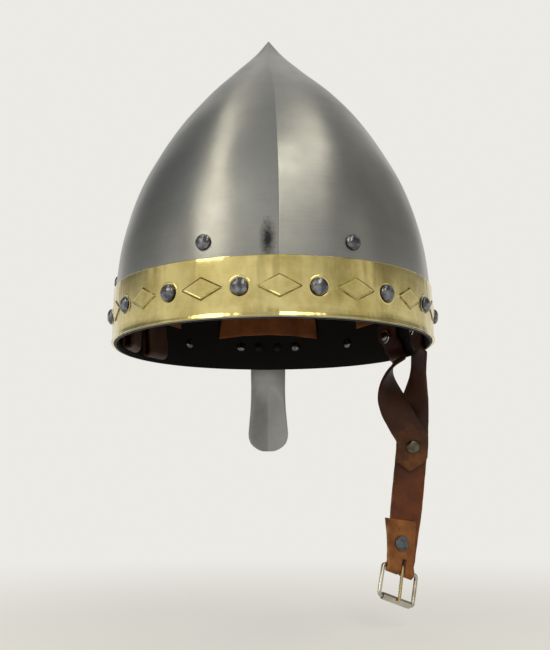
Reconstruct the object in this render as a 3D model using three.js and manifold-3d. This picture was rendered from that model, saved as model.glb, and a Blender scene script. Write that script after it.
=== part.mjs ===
// Conical nasal helmet: a raised steel skull with a medial ridge, a brass brow band with lozenges,
// a riveted nasal, a laced leather liner and a two-part chin strap with a roller buckle.
// Millimetres, +Z up. The origin is the middle of the rim's plane. -Y is the back, +Y the front.
import * as THREE from "three";
import { mergeVertices } from "three/addons/utils/BufferGeometryUtils.js";
import Module from "manifold-3d";

const wasm = await Module();
wasm.setup();

// Skull
const RIM_HALF_WIDTH = 103.2;
const BACK_DEPTH = 119;
const FRONT_DEPTH = 114.8;
const SKULL_HEIGHT = 218;
const SHEET = 1.5;
const RIDGE_HEIGHT = 2.8;
const RIDGE_REACH = 24;
const RIDGE_FADE = 26;

// Everything that lies on, or runs in, its neighbour
const GAP = 0.3;
const HOLE_CLEARANCE = 0.3;

// Brow band and its lozenges
const BAND_HEIGHT = 35;
const BAND_THICKNESS = 1;
const BAND_SET_UP = 0.8;
const LIP_HEIGHT = 2.4;
const LIP_FLARE = 0.6;
const LOZENGE_WIDTH = 22.6;
const LOZENGE_HEIGHT = 11.7;
const LOZENGE_RELIEF = 0.6;
const LOZENGE_CHAMFER = 0.9;
const LOZENGE_ROOT = 0.4;
const PATTERN_COUNT = 16;

// Domed rivets
const SHANK_RADIUS = 2;
const BAND_RIVET_HEIGHT = 17.5;
const BAND_RIVET_RADIUS = 4.95;
const BAND_RIVET_DOME = 3;
const LINER_RIVET_HEIGHT = 44.5;
const LINER_RIVET_RADIUS = 4.65;
const LINER_RIVET_DOME = 2.8;
const TAIL_RADIUS = 3.4;
const TAIL_HEIGHT = 1.3;
const WASHER_RADIUS = 5;
const WASHER_THICKNESS = 1;

// Nasal
const NASAL_THICKNESS = 2.5;
const NASAL_HALF_WIDTH = 13;
const NASAL_DROP = 63;
const NASAL_RISE = 18;
const NASAL_LEAN = 3;
const NASAL_CROWN = 3.5;
const NASAL_TOP_RIVET_RISE = 11;
const NASAL_RIVET_OFFSET = 7.6;
const NASAL_RIVET_RADIUS = 4;
const NASAL_RIVET_DOME = 2.4;
const NASAL_JOGGLE = 3;

// Liner
const LINER_LEATHER = 2;
const LINER_STAND_OFF = 0.75;
const LINER_TOP_DROP = 68;
const LINER_LEAVE_RISE = 13;
const BELLY_EDGE = 5;
const TONGUE_TIP_RING = 26;
const TONGUE_TIP_HALF_WIDTH = 13;
const FRONT_TONGUE_HALF_WIDTH = 40;
const BACK_TONGUE_HALF_WIDTH = 54;
const SIDE_TONGUE_HALF_WIDTH = 55;
const FRONT_TONGUE_EDGE = 23;
const FRONT_TONGUE_ARCH = 4;
const SIDE_TONGUE_EDGE = 28;
const SIDE_TONGUE_ARCH = 3;
const FRONT_LINER_RIVET_OFFSET = 31;
const LACE_RADIUS = 1.3;
const LACE_BEND_DEGREES = 33;

// Chin strap leather
const STRAP_WIDTH = 22;
const STRAP_THICKNESS = 2.2;
const STRAP_END_ABOVE_RIVET = 9.5;
const STRAP_BEND_DROP = 2;
const STRAP_BEND_GAP = 0.9;
const STRAP_BEND_INSETS = [0.6, 2.3];
const JUNCTION_DROP = 63.5;
const JUNCTION_INSET = 4.8;
const JUNCTION_FRONT = 42.5;
const ARM_TAB = 16.5;
const REAR_ARM_BOW = 1;
const FRONT_ARM_BOW = 12;
const FRONT_ARM_LIFT = 6.6;
const ARM_GAP = 0.45;
const FRONT_ARM_LEAN_DEGREES = 17;
const STRAP_RIVET_RADIUS = 4.6;
const STRAP_RIVET_CAP = 1.6;

// Buckle
const BAR_DROP = 146;
const BAR_INSET = 16.7;
const BAR_SLOPE_DEGREES = 20;
const BAR_TURN_DEGREES = 25;
const BUCKLE_REST_DEGREES = 12;
const WIRE_RADIUS = 1.4;
const FRAME_CLEARANCE = 1.6;
const FRAME_LENGTH = 21;
const FRAME_CORNER = 2;
const ROLLER_WALL = 0.8;
const PRONG_RADIUS = 1.1;
const SLOT_REACH = 7.2;
const FOLD_SKEW = 1.2;
const CHAPE_SKEW = 2;
const CHAPE_LENGTH = 33;
const CHAPE_RIVET_RISE = 17;
const CHAPE_RIVET_RADIUS = 5.1;
const CHAPE_RIVET_CAP = 1;

// Left strap, tucked up behind the liner
const TUCK_JUNCTION_HEIGHT = 84;
const TUCK_TOP_DROP = 36;
const TUCK_TURN_HEIGHT = 6;
const PUNCH_RADIUS = 1.8;
const PUNCH_COUNT = 5;
const PUNCH_PITCH = 15;

// Counts of facets
const AROUND = 56;
const ROUND_SIDES = 8;
const HOLE_SIDES = 6;
const WIRE_SIDES = 8;
const LACE_STEPS = 48;

const finishes = {
  steel: new THREE.MeshStandardMaterial({ color: "#8c8a84", roughness: 0.38, metalness: 1 }),
  brass: new THREE.MeshStandardMaterial({ color: "#c9a84a", roughness: 0.25, metalness: 1 }),
  rivetSteel: new THREE.MeshStandardMaterial({ color: "#55555a", roughness: 0.35, metalness: 1 }),
  nickel: new THREE.MeshStandardMaterial({ color: "#a9a49a", roughness: 0.3, metalness: 1 }),
  strapLeather: new THREE.MeshStandardMaterial({ color: "#6b3a22", roughness: 0.6 }),
  linerLeather: new THREE.MeshStandardMaterial({ color: "#9a5f38", roughness: 0.75 }),
};

const helmet = new THREE.Group();

function place(name, geometry, material, matrix, parent = helmet) {
  const mesh = new THREE.Mesh(geometry, material);
  mesh.name = name;
  if (matrix) mesh.applyMatrix4(matrix);
  parent.add(mesh);
  return mesh;
}

// Smooth step from 0 to 1 while value goes from low to high
const ease = (value, low, high) => THREE.MathUtils.smoothstep(value, low, high);
const bent = (value, power) => Math.sign(value) * Math.abs(value) ** power;

// Lofts through closed rings of points, joined last to first or capped. A cap is a strip across its ring.
function loft(rings, joined = false) {
  const count = rings[0].length;
  const points = rings.flat();
  const index = [];
  const spans = joined ? rings.length : rings.length - 1;
  for (let i = 0; i < spans; i++)
    for (let j = 0; j < count; j++) {
      const a = i * count + j;
      const b = i * count + ((j + 1) % count);
      const c = ((i + 1) % rings.length) * count + j;
      const d = ((i + 1) % rings.length) * count + ((j + 1) % count);
      index.push(a, b, d, a, d, c);
    }
  if (!joined)
    for (const [first, flip] of [[0, true], [(rings.length - 1) * count, false]])
      for (let j = 0; j + 1 < count - 1 - j; j++) {
        const [a, b, c, d] = [j, j + 1, count - 2 - j, count - 1 - j].map((k) => first + k);
        index.push(a, flip ? c : b, flip ? b : c, a, flip ? d : c, flip ? c : d);
      }
  const geometry = new THREE.BufferGeometry().setFromPoints(points);
  return geometry.setIndex(index);
}

// A closed geometry as a solid, with its faces turned outwards
function solidOf(geometry, matrix) {
  const bare = new THREE.BufferGeometry();
  bare.setAttribute("position", geometry.getAttribute("position").clone());
  if (geometry.index) bare.setIndex(geometry.index);
  if (matrix) bare.applyMatrix4(matrix);
  const merged = mergeVertices(bare);
  const corners = merged.index.array;
  const kept = [];
  for (let i = 0; i < corners.length; i += 3) {
    const [a, b, c] = corners.slice(i, i + 3);
    if (a !== b && b !== c && c !== a) kept.push(a, b, c);
  }
  const make = (triangles) =>
    new wasm.Manifold(
      new wasm.Mesh({
        numProp: 3,
        vertProperties: new Float32Array(merged.getAttribute("position").array),
        triVerts: new Uint32Array(triangles),
      }),
    );
  const solid = make(kept);
  if (solid.volume() > 0) return solid;
  for (let i = 0; i < kept.length; i += 3) [kept[i], kept[i + 1]] = [kept[i + 1], kept[i]];
  return make(kept);
}

function geometryOf(solid) {
  const mesh = solid.getMesh();
  const geometry = new THREE.BufferGeometry();
  geometry.setAttribute("position", new THREE.BufferAttribute(mesh.vertProperties, 3));
  geometry.setIndex(new THREE.BufferAttribute(mesh.triVerts, 1));
  geometry.computeVertexNormals();
  return geometry;
}

const cut = (solid, cutters) => cutters.reduce((left, cutter) => left.subtract(cutter), solid);

// Profile of the skull: share of the rim's half width at each share of the height
const PROFILE_SHARES = [
  [0, 1],
  [0.08, 1],
  [0.16, 0.995],
  [0.26, 0.974],
  [0.36, 0.928],
  [0.46, 0.857],
  [0.56, 0.751],
  [0.66, 0.622],
  [0.76, 0.457],
  [0.86, 0.254],
  [0.94, 0.0955],
  [1, 0],
];
const SECTION_POWER = 2.1;

// Monotone cubic through the profile's points, so that the flanks neither bulge nor ripple
function widthShare(heightShare) {
  const last = PROFILE_SHARES.length - 1;
  const at = Math.min(Math.max(heightShare, 0), 1);
  let i = 0;
  while (i < last - 1 && PROFILE_SHARES[i + 1][0] < at) i++;
  const slopeOf = (k) =>
    (PROFILE_SHARES[k + 1][1] - PROFILE_SHARES[k][1]) / (PROFILE_SHARES[k + 1][0] - PROFILE_SHARES[k][0]);
  const tangentAt = (k) => {
    if (k === 0) return slopeOf(0);
    if (k === last) return slopeOf(last - 1);
    const before = slopeOf(k - 1);
    const after = slopeOf(k);
    return before * after <= 0 ? 0 : (2 * before * after) / (before + after);
  };
  const [x0, y0] = PROFILE_SHARES[i];
  const [x1, y1] = PROFILE_SHARES[i + 1];
  const span = x1 - x0;
  const t = (at - x0) / span;
  const stay = (1 + 2 * t) * (1 - t) ** 2;
  const start = t * (1 - t) ** 2 * span * tangentAt(i);
  const end = t ** 2 * (t - 1) * span * tangentAt(i + 1);
  return y0 * stay + y1 * (1 - stay) + start + end;
}

// The ridge is low under the band, full above it, and dies into the point
function ridgeAt(height) {
  const rise = 0.35 + 0.65 * ease(height, 0, SKULL_HEIGHT / 3);
  const fade = Math.min(1, (SKULL_HEIGHT - height) / RIDGE_FADE);
  return RIDGE_HEIGHT * rise * fade;
}

// Outside of the skull. The angle is 0 at the back (-Y) and grows towards +X.
function skullPoint(angle, height) {
  const share = widthShare(height / SKULL_HEIGHT);
  const halfWidth = RIM_HALF_WIDTH * share;
  const depth = (Math.cos(angle) > 0 ? BACK_DEPTH : FRONT_DEPTH) * share;
  const x = halfWidth * bent(Math.sin(angle), 2 / SECTION_POWER);
  let y = -depth * bent(Math.cos(angle), 2 / SECTION_POWER);
  const reach = Math.min(RIDGE_REACH, halfWidth * 0.8) || 1;
  if (Math.abs(x) < reach)
    y -= Math.sign(Math.cos(angle)) * ridgeAt(height) * (1 - Math.abs(x) / reach) ** 2;
  return new THREE.Vector3(x, y, height);
}

function skullNormal(angle, height) {
  const turn = 0.01;
  const rise = SKULL_HEIGHT / 400;
  const low = Math.max(height - rise, 0);
  const high = Math.min(height + rise, SKULL_HEIGHT);
  const along = skullPoint(angle + turn, height).sub(skullPoint(angle - turn, height));
  const up = skullPoint(angle, high).sub(skullPoint(angle, low));
  return along.cross(up).normalize();
}

const offsetPoint = (angle, height, offset) =>
  skullPoint(angle, height).addScaledVector(skullNormal(angle, height), offset);

// Angles of the facets: closer together at the ridge than at the sides
const ringAngles = Array.from({ length: AROUND }, (_, i) => {
  const even = (2 * Math.PI * i) / AROUND;
  return even - 0.15 * Math.sin(2 * even);
});

// Angle at a number of pattern pitches from the back, measured along the outline
const OUTLINE_STEPS = 1440;
const outlineLengths = [0];
for (let i = 1; i <= OUTLINE_STEPS; i++) {
  const step = (2 * Math.PI) / OUTLINE_STEPS;
  const here = skullPoint(i * step, BAND_RIVET_HEIGHT);
  const before = skullPoint((i - 1) * step, BAND_RIVET_HEIGHT);
  outlineLengths.push(outlineLengths[i - 1] + here.distanceTo(before));
}
const PITCH = outlineLengths[OUTLINE_STEPS] / PATTERN_COUNT;

function angleAt(pitches) {
  const wanted = (((pitches % PATTERN_COUNT) + PATTERN_COUNT) % PATTERN_COUNT) * PITCH;
  let i = outlineLengths.findIndex((length) => length >= wanted);
  if (i < 1) i = 1;
  const part = (wanted - outlineLengths[i - 1]) / (outlineLengths[i] - outlineLengths[i - 1]);
  return ((i - 1 + part) * 2 * Math.PI) / OUTLINE_STEPS;
}

// Angle on the front half at a distance from the middle
function frontAngle(side, height) {
  const halfWidth = RIM_HALF_WIDTH * widthShare(height / SKULL_HEIGHT);
  const sine = Math.abs(side / halfWidth) ** (SECTION_POWER / 2);
  return Math.PI - Math.sign(side) * Math.asin(Math.min(1, sine));
}

// Matrix at a point of the skull's outside, with +Z outwards and +Y up the wall
function wallMatrix(angle, height) {
  const out = skullNormal(angle, height);
  const across = new THREE.Vector3(0, 0, 1).cross(out).normalize();
  const up = out.clone().cross(across);
  return new THREE.Matrix4().makeBasis(across, up, out).setPosition(skullPoint(angle, height));
}

// A hole through whatever lies between two depths along a matrix's +Z, as wide across its flats as asked
function drill(matrix, radius, inner, outer) {
  const corner = radius / Math.cos(Math.PI / HOLE_SIDES);
  const geometry = new THREE.CylinderGeometry(corner, corner, outer - inner, HOLE_SIDES);
  geometry.rotateX(Math.PI / 2).translate(0, 0, (inner + outer) / 2);
  return solidOf(geometry, matrix);
}

// A domed rivet whose head sits at seat and whose peened tail closes at -grip, along +Z
function rivetGeometry({ radius, dome, seat, grip }) {
  const profile = [new THREE.Vector2(0, -grip - TAIL_HEIGHT)];
  profile.push(new THREE.Vector2(TAIL_RADIUS, -grip));
  profile.push(new THREE.Vector2(SHANK_RADIUS, -grip));
  profile.push(new THREE.Vector2(SHANK_RADIUS, seat));
  profile.push(new THREE.Vector2(radius, seat));
  for (const share of [0.4, 0.75])
    profile.push(new THREE.Vector2(radius * Math.cos((share * Math.PI) / 2),
      seat + dome * Math.sin((share * Math.PI) / 2)));
  profile.push(new THREE.Vector2(0, seat + dome));
  return new THREE.LatheGeometry(profile, ROUND_SIDES).rotateX(Math.PI / 2);
}

function washerGeometry(depth) {
  const inner = SHANK_RADIUS + HOLE_CLEARANCE;
  const profile = [
    new THREE.Vector2(inner, -depth - WASHER_THICKNESS),
    new THREE.Vector2(WASHER_RADIUS, -depth - WASHER_THICKNESS),
    new THREE.Vector2(WASHER_RADIUS, -depth),
    new THREE.Vector2(inner, -depth),
    new THREE.Vector2(inner, -depth - WASHER_THICKNESS),
  ];
  return new THREE.LatheGeometry(profile, ROUND_SIDES).rotateX(Math.PI / 2);
}

// Rivet places. Rivets stand half a pitch from the lozenges. Some of them also hold the strap's arms.
const bandRivetPitches = Array.from({ length: PATTERN_COUNT }, (_, i) => i + 0.5);
const ARM_PITCH_SHARES = [4.5, 5.5];
const strapRivetPitches = [...ARM_PITCH_SHARES, ...ARM_PITCH_SHARES.map((pitch) => PATTERN_COUNT - pitch)];
const bandRivetPlaces = bandRivetPitches.map((pitch) => ({
  pitch,
  matrix: wallMatrix(angleAt(pitch), BAND_RIVET_HEIGHT),
}));

const SIDE_TONGUE_PITCH_SHARE = 5;
const frontLinerAngles = [1, -1].map((side) =>
  frontAngle(side * FRONT_LINER_RIVET_OFFSET, LINER_RIVET_HEIGHT));
const sideLinerPitches = [SIDE_TONGUE_PITCH_SHARE - 1, SIDE_TONGUE_PITCH_SHARE + 1];
const linerRivetPlaces = [
  ...[1, -1].map((pitch) => ({ tongue: "back", angle: angleAt(pitch) })),
  ...sideLinerPitches.map((pitch) => ({ tongue: "right", angle: angleAt(pitch) })),
  ...frontLinerAngles.map((angle) => ({ tongue: "front", angle })),
  ...sideLinerPitches.map((pitch) => ({ tongue: "left", angle: angleAt(-pitch) })),
].map((spot) => ({ ...spot, matrix: wallMatrix(spot.angle, LINER_RIVET_HEIGHT) }));

const nasalRivetPlaces = [
  { side: NASAL_RIVET_OFFSET, height: BAND_RIVET_HEIGHT },
  { side: -NASAL_RIVET_OFFSET, height: BAND_RIVET_HEIGHT },
  { side: 0, height: BAND_HEIGHT + NASAL_TOP_RIVET_RISE },
].map((spot) => ({ ...spot, matrix: wallMatrix(frontAngle(spot.side, spot.height), spot.height) }));

const holeRadius = SHANK_RADIUS + HOLE_CLEARANCE;
const bandOuter = GAP + BAND_THICKNESS;
const drillDepth = 2 * SHEET + bandOuter;

// Skull: two nested surfaces that meet in the rim's edge
const SKULL_RING_SHARES = [0.31, 0.42, 0.53, 0.64, 0.74, 0.83, 0.9, 0.96];
const skullHeights = [
  0,
  BAND_RIVET_HEIGHT,
  BAND_HEIGHT,
  LINER_RIVET_HEIGHT,
  ...SKULL_RING_SHARES.map((share) => share * SKULL_HEIGHT),
];
const ringAt = (height, offset) =>
  ringAngles.map((angle) => {
    const point = offsetPoint(angle, height, offset);
    return height === 0 ? point.setZ(0) : point;
  });

function makeSkull() {
  const apex = (depth) => ringAngles.map(() => new THREE.Vector3(0, 0, SKULL_HEIGHT - depth));
  const outer = skullHeights.map((height) => ringAt(height, 0));
  const inner = skullHeights.map((height) => ringAt(height, -SHEET));
  const shell = solidOf(loft([apex(1.6 * SHEET), ...inner.reverse(), ...outer, apex(0)]));
  const places = [...bandRivetPlaces, ...linerRivetPlaces, ...nasalRivetPlaces];
  return cut(shell, places.map(({ matrix }) => drill(matrix, holeRadius, -2 * SHEET, SHEET)));
}
place("skull", geometryOf(makeSkull()), finishes.steel);

// Brow band: a hoop with a flared lip, raised lozenges and holes for its rivets
function lozengeSolid(pitch) {
  const root = GAP + BAND_THICKNESS - LOZENGE_ROOT;
  const crest = GAP + BAND_THICKNESS + LOZENGE_RELIEF;
  const halfWidth = LOZENGE_WIDTH / 2;
  const halfHeight = LOZENGE_HEIGHT / 2;
  const slope = LOZENGE_CHAMFER / halfHeight;
  const at = (side, rise, offset) =>
    offsetPoint(angleAt(pitch + side / PITCH), BAND_RIVET_HEIGHT + rise, offset);
  const tip = (share) => Array.from({ length: 4 }, () => at(share * halfWidth, 0, root));
  const rings = [-1, 0, 1].map((share) => {
    const rise = halfHeight * (1 - Math.abs(share));
    return [
      at(share * halfWidth, -rise - LOZENGE_CHAMFER, root),
      at(share * halfWidth, -Math.max(rise, LOZENGE_CHAMFER / 8), crest),
      at(share * halfWidth, Math.max(rise, LOZENGE_CHAMFER / 8), crest),
      at(share * halfWidth, rise + LOZENGE_CHAMFER, root),
    ];
  });
  return solidOf(loft([tip(-1 - slope), ...rings, tip(1 + slope)]));
}

function makeBand() {
  const inner = GAP;
  const outer = GAP + BAND_THICKNESS;
  const profile = [
    [BAND_SET_UP, inner],
    [BAND_SET_UP, outer + LIP_FLARE],
    [BAND_SET_UP + LIP_HEIGHT / 3, outer + LIP_FLARE],
    [BAND_SET_UP + LIP_HEIGHT, outer],
    [BAND_RIVET_HEIGHT, outer],
    [BAND_HEIGHT, outer],
    [BAND_HEIGHT, inner],
    [BAND_RIVET_HEIGHT, inner],
  ];
  const rings = ringAngles.map((angle) =>
    profile.map(([height, offset]) => offsetPoint(angle, height, offset).setZ(height)));
  let hoop = solidOf(loft(rings, true));
  for (let i = 0; i < PATTERN_COUNT; i++)
    if (i !== PATTERN_COUNT / 2) hoop = hoop.add(lozengeSolid(i));
  const places = [...bandRivetPlaces, ...nasalRivetPlaces.filter((spot) => spot.side)];
  return cut(hoop, places.map(({ matrix }) => drill(matrix, holeRadius, -SHEET, drillDepth)));
}
place("brow_band", geometryOf(makeBand()), finishes.brass);

// What is flat stands off the curved wall by the wall's rise over half its width
const wallRise = (height, half = STRAP_WIDTH / 2) =>
  half ** 2 / (2 * RIM_HALF_WIDTH * widthShare(height / SKULL_HEIGHT));

// Depth of the strap's inner face, measured in from the steel's outside
const strapInner = SHEET + GAP + STRAP_THICKNESS + wallRise(BAND_RIVET_HEIGHT);

// Depths, in from the steel's inside, of the left strap where it passes over the rivets and at its own
const tuckInner = strapInner - SHEET + 2 * GAP + WASHER_THICKNESS + TAIL_HEIGHT;
const tuckDepth = tuckInner + GAP + STRAP_THICKNESS / 2;
const tuckJunctionDepth = 2 * GAP + TAIL_HEIGHT + STRAP_THICKNESS / 2;
const bandSeat = bandOuter + GAP;

bandRivetPlaces.forEach(({ pitch, matrix }, i) => {
  const holdsStrap = strapRivetPitches.includes(pitch);
  const grip = holdsStrap ? strapInner + 2 * GAP + WASHER_THICKNESS : SHEET + 1.4 * GAP;
  const geometry = rivetGeometry({
    radius: BAND_RIVET_RADIUS,
    dome: BAND_RIVET_DOME,
    seat: bandSeat,
    grip,
  });
  const number = String(i + 1).padStart(2, "0");
  place("band_rivet_" + number, geometry, finishes.rivetSteel, matrix);
  if (holdsStrap)
    place("strap_washer_" + number, washerGeometry(strapInner + GAP), finishes.nickel, matrix);
});

// Nasal: a bar with a ridge, joggled over the band's upper edge
const NASAL_WIDTH_SHARES = [
  [1, 0.3],
  [0.9, 0.72],
  [0.72, 0.95],
  [0.45, 1],
  [0.18, 1],
];
const NASAL_DROP_SHARES = [
  [0, 1],
  [0.22, 0.98],
  [0.5, 1.02],
  [0.78, 1.14],
  [0.9, 1.02],
  [0.97, 0.66],
  [1, 0.3],
];
const nasalOffset = (height) => {
  const onBand = bandOuter + GAP;
  const overBand = 1 - ease(height, BAND_HEIGHT + GAP, BAND_HEIGHT + GAP + NASAL_JOGGLE);
  const overLip = 1 - ease(height, BAND_SET_UP + LIP_HEIGHT, 2 * (BAND_SET_UP + LIP_HEIGHT));
  return GAP + (onBand - GAP) * overBand + LIP_FLARE * overLip;
};

function nasalPoint(side, height, depth) {
  const at = Math.max(height, 0);
  const point = offsetPoint(frontAngle(side, at), at, nasalOffset(at) + depth);
  if (height >= 0) return point.setZ(height);
  const fall = -height / NASAL_DROP;
  const crown = NASAL_CROWN * ease(fall, 0, 0.4) * (1 - Math.abs(side) / NASAL_HALF_WIDTH);
  point.y += NASAL_LEAN * fall + crown;
  return point.setZ(height);
}

function makeNasal() {
  const above = NASAL_WIDTH_SHARES.map(([share, width]) => [BAND_HEIGHT + NASAL_RISE * share, width]);
  const joggle = [BAND_HEIGHT + GAP, BAND_RIVET_HEIGHT, 2 * (BAND_SET_UP + LIP_HEIGHT), BAND_SET_UP + LIP_HEIGHT];
  const onBand = joggle.map((height) => [height, 1]);
  const below = NASAL_DROP_SHARES.map(([share, width]) => [-NASAL_DROP * share, width]);
  const across = [-1, -0.55, 0, 0.55, 1];
  const rings = [...above, ...onBand, ...below].map(([height, width]) => {
    const sides = across.map((share) => share * width * NASAL_HALF_WIDTH);
    const back = sides.map((side) => nasalPoint(side, height, 0));
    const front = sides.map((side) => nasalPoint(side, height, NASAL_THICKNESS));
    return [...back, ...front.reverse()];
  });
  const bar = solidOf(loft(rings));
  const deep = bandOuter + NASAL_THICKNESS + SHEET;
  return cut(bar, nasalRivetPlaces.map(({ matrix }) => drill(matrix, holeRadius, -SHEET, deep)));
}
place("nasal", geometryOf(makeNasal()), finishes.steel);

// On the ridge the sheet falls away under a tail, so that tail closes lower
const creaseFall = (height) => ridgeAt(height) * (1 - (1 - TAIL_RADIUS / RIDGE_REACH) ** 2);
nasalRivetPlaces.forEach(({ side, height, matrix }, i) => {
  const crease = side ? 0 : creaseFall(height);
  const geometry = rivetGeometry({
    radius: NASAL_RIVET_RADIUS,
    dome: NASAL_RIVET_DOME,
    seat: nasalOffset(height) + NASAL_THICKNESS + GAP,
    grip: SHEET + GAP + crease,
  });
  place("nasal_rivet_" + (i + 1), geometry, finishes.rivetSteel, matrix);
});

// A point inside the skull: pitches from the back, height, and depth from the steel's inside
const insidePoint = (pitch, height, depth) => offsetPoint(angleAt(pitch), height, -SHEET - depth);

// Liner tongues: leather that lies on the wall at its foot and leans in to the lace at its tip. `rivet` is
// how far its rivets are from its middle.
const linerTop = SKULL_HEIGHT - LINER_TOP_DROP;
const tongues = {
  back: {
    pitch: 0,
    halfWidth: BACK_TONGUE_HALF_WIDTH,
    edge: FRONT_TONGUE_EDGE,
    arch: FRONT_TONGUE_ARCH,
    rivet: PITCH,
    belly: 0,
  },
  right: {
    pitch: SIDE_TONGUE_PITCH_SHARE,
    halfWidth: SIDE_TONGUE_HALF_WIDTH,
    edge: SIDE_TONGUE_EDGE,
    arch: SIDE_TONGUE_ARCH,
    rivet: PITCH,
    belly: 0,
  },
  front: {
    pitch: PATTERN_COUNT / 2,
    halfWidth: FRONT_TONGUE_HALF_WIDTH,
    edge: FRONT_TONGUE_EDGE,
    arch: FRONT_TONGUE_ARCH,
    rivet: FRONT_LINER_RIVET_OFFSET,
    belly: TAIL_HEIGHT + 2 * GAP + creaseFall(BAND_HEIGHT + NASAL_TOP_RIVET_RISE),
  },
  left: {
    pitch: -SIDE_TONGUE_PITCH_SHARE,
    halfWidth: SIDE_TONGUE_HALF_WIDTH,
    edge: SIDE_TONGUE_EDGE,
    arch: SIDE_TONGUE_ARCH,
    rivet: PITCH,
    belly: tuckDepth + STRAP_THICKNESS / 2 + wallRise(BAND_RIVET_HEIGHT) + GAP,
  },
};
const bellyEnd = ({ halfWidth, rivet }) => (rivet - WASHER_RADIUS - GAP) / halfWidth;
const bellyStart = (tongue) => bellyEnd(tongue) - BELLY_EDGE / tongue.halfWidth;
const tongueColumns = (tongue) => {
  const side = [bellyStart(tongue) / 2, bellyStart(tongue), bellyEnd(tongue), (1 + bellyEnd(tongue)) / 2, 1];
  return [...side.map((share) => -share).reverse(), 0, ...side];
};
const TONGUE_LEAN_SHARES = [0, 0.2, 0.42, 0.63, 0.79, 0.9, 1];
const leaveRow = ({ edge }) => (LINER_RIVET_HEIGHT + LINER_LEAVE_RISE - edge) / (linerTop - edge);
const tongueRows = (tongue) => {
  const leave = leaveRow(tongue);
  return [0, leave / 2, ...TONGUE_LEAN_SHARES.map((share) => leave + (1 - leave) * share)];
};

// Azimuth in plan, for the tips round the lace
const planAngle = (pitch) => {
  const point = insidePoint(pitch, linerTop, 0);
  return Math.atan2(point.y, point.x);
};

function tonguePoint(tongue, column, row, depth) {
  const { pitch, halfWidth, edge, arch, belly } = tongue;
  const foot = edge + arch * (1 - column ** 2);
  const height = foot + (linerTop - foot) * row;
  const taper = THREE.MathUtils.lerp(1, 0.8, ease(row, 0, 0.5));
  const wallWidth = (halfWidth / PITCH) * taper;
  const flat = ease(Math.abs(column), bellyStart(tongue), bellyEnd(tongue));
  const bellied = belly * (1 - flat) * (1 - ease(row, 0.35, 0.8));
  const wall = insidePoint(pitch + column * wallWidth, height, LINER_STAND_OFF + depth + bellied);
  const tipAngle = planAngle(pitch) + (column * TONGUE_TIP_HALF_WIDTH) / TONGUE_TIP_RING;
  const ring = TONGUE_TIP_RING - depth;
  const tip = new THREE.Vector3(Math.cos(tipAngle) * ring, Math.sin(tipAngle) * ring, height);
  return wall.lerp(tip, ease(row, leaveRow(tongue), 1));
}

// Lace: one thong that runs outside the gaps and inside each tip, through two slits a tongue
function lacePath() {
  const half = THREE.MathUtils.degToRad(LACE_BEND_DEGREES);
  const swing = LACE_RADIUS + GAP + LINER_LEATHER / 2;
  const tips = Object.values(tongues).map(({ pitch }) => planAngle(pitch));
  const height = linerTop - 4 * LACE_RADIUS;
  return Array.from({ length: LACE_STEPS }, (_, i) => {
    const angle = (2 * Math.PI * i) / LACE_STEPS;
    const near = Math.min(...tips.map((tip) => {
      const away = Math.abs(angle - tip) % (2 * Math.PI);
      return Math.min(away, 2 * Math.PI - away);
    }));
    const inside = near < half ? Math.cos((Math.PI / 2) * (near / half)) ** 2 : 0;
    const ring = TONGUE_TIP_RING - LINER_LEATHER / 2 + swing * (1 - 2 * inside);
    return new THREE.Vector3(Math.cos(angle) * ring, Math.sin(angle) * ring, height);
  });
}

// Round section swept along points. A closed path joins its ends.
function sweep(points, radius, sides, closed, reference = new THREE.Vector3(0, 0, 1)) {
  const count = points.length;
  const rings = points.map((point, i) => {
    const next = points[closed ? (i + 1) % count : Math.min(i + 1, count - 1)];
    const before = points[closed ? (i - 1 + count) % count : Math.max(i - 1, 0)];
    const along = next.clone().sub(before).normalize();
    const side = reference.clone().cross(along).normalize();
    const up = along.clone().cross(side);
    return Array.from({ length: sides }, (_, j) => {
      const turn = (2 * Math.PI * j) / sides;
      return point
        .clone()
        .addScaledVector(side, radius * Math.cos(turn))
        .addScaledVector(up, radius * Math.sin(turn));
    });
  });
  return loft(rings, closed);
}

const laceSlit = solidOf(sweep(lacePath(), LACE_RADIUS + GAP, HOLE_SIDES, true));

function makeTongue(name) {
  const tongue = tongues[name];
  const columns = tongueColumns(tongue);
  const rings = tongueRows(tongue).map((row) => {
    const outer = columns.map((column) => tonguePoint(tongue, column, row, 0));
    const inner = columns.map((column) => tonguePoint(tongue, column, row, LINER_LEATHER));
    return [...outer, ...inner.reverse()];
  });
  const places = linerRivetPlaces.filter((spot) => spot.tongue === name);
  const deep = -SHEET - 2 * LINER_LEATHER;
  const cutters = places.map(({ matrix }) => drill(matrix, holeRadius, deep, 0));
  return cut(solidOf(loft(rings)), [laceSlit, ...cutters]);
}
for (const name of Object.keys(tongues))
  place("liner_tongue_" + name, geometryOf(makeTongue(name)), finishes.linerLeather);
place("liner_lace", sweep(lacePath(), LACE_RADIUS, HOLE_SIDES, true), finishes.strapLeather);

const linerInner = SHEET + LINER_STAND_OFF + LINER_LEATHER + 2 * wallRise(LINER_RIVET_HEIGHT, WASHER_RADIUS);
linerRivetPlaces.forEach(({ matrix }, i) => {
  const geometry = rivetGeometry({
    radius: LINER_RIVET_RADIUS,
    dome: LINER_RIVET_DOME,
    seat: GAP,
    grip: linerInner + 2 * GAP + WASHER_THICKNESS,
  });
  place("liner_rivet_" + (i + 1), geometry, finishes.rivetSteel, matrix);
  place("liner_washer_" + (i + 1), washerGeometry(linerInner + GAP), finishes.nickel, matrix);
});

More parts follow.
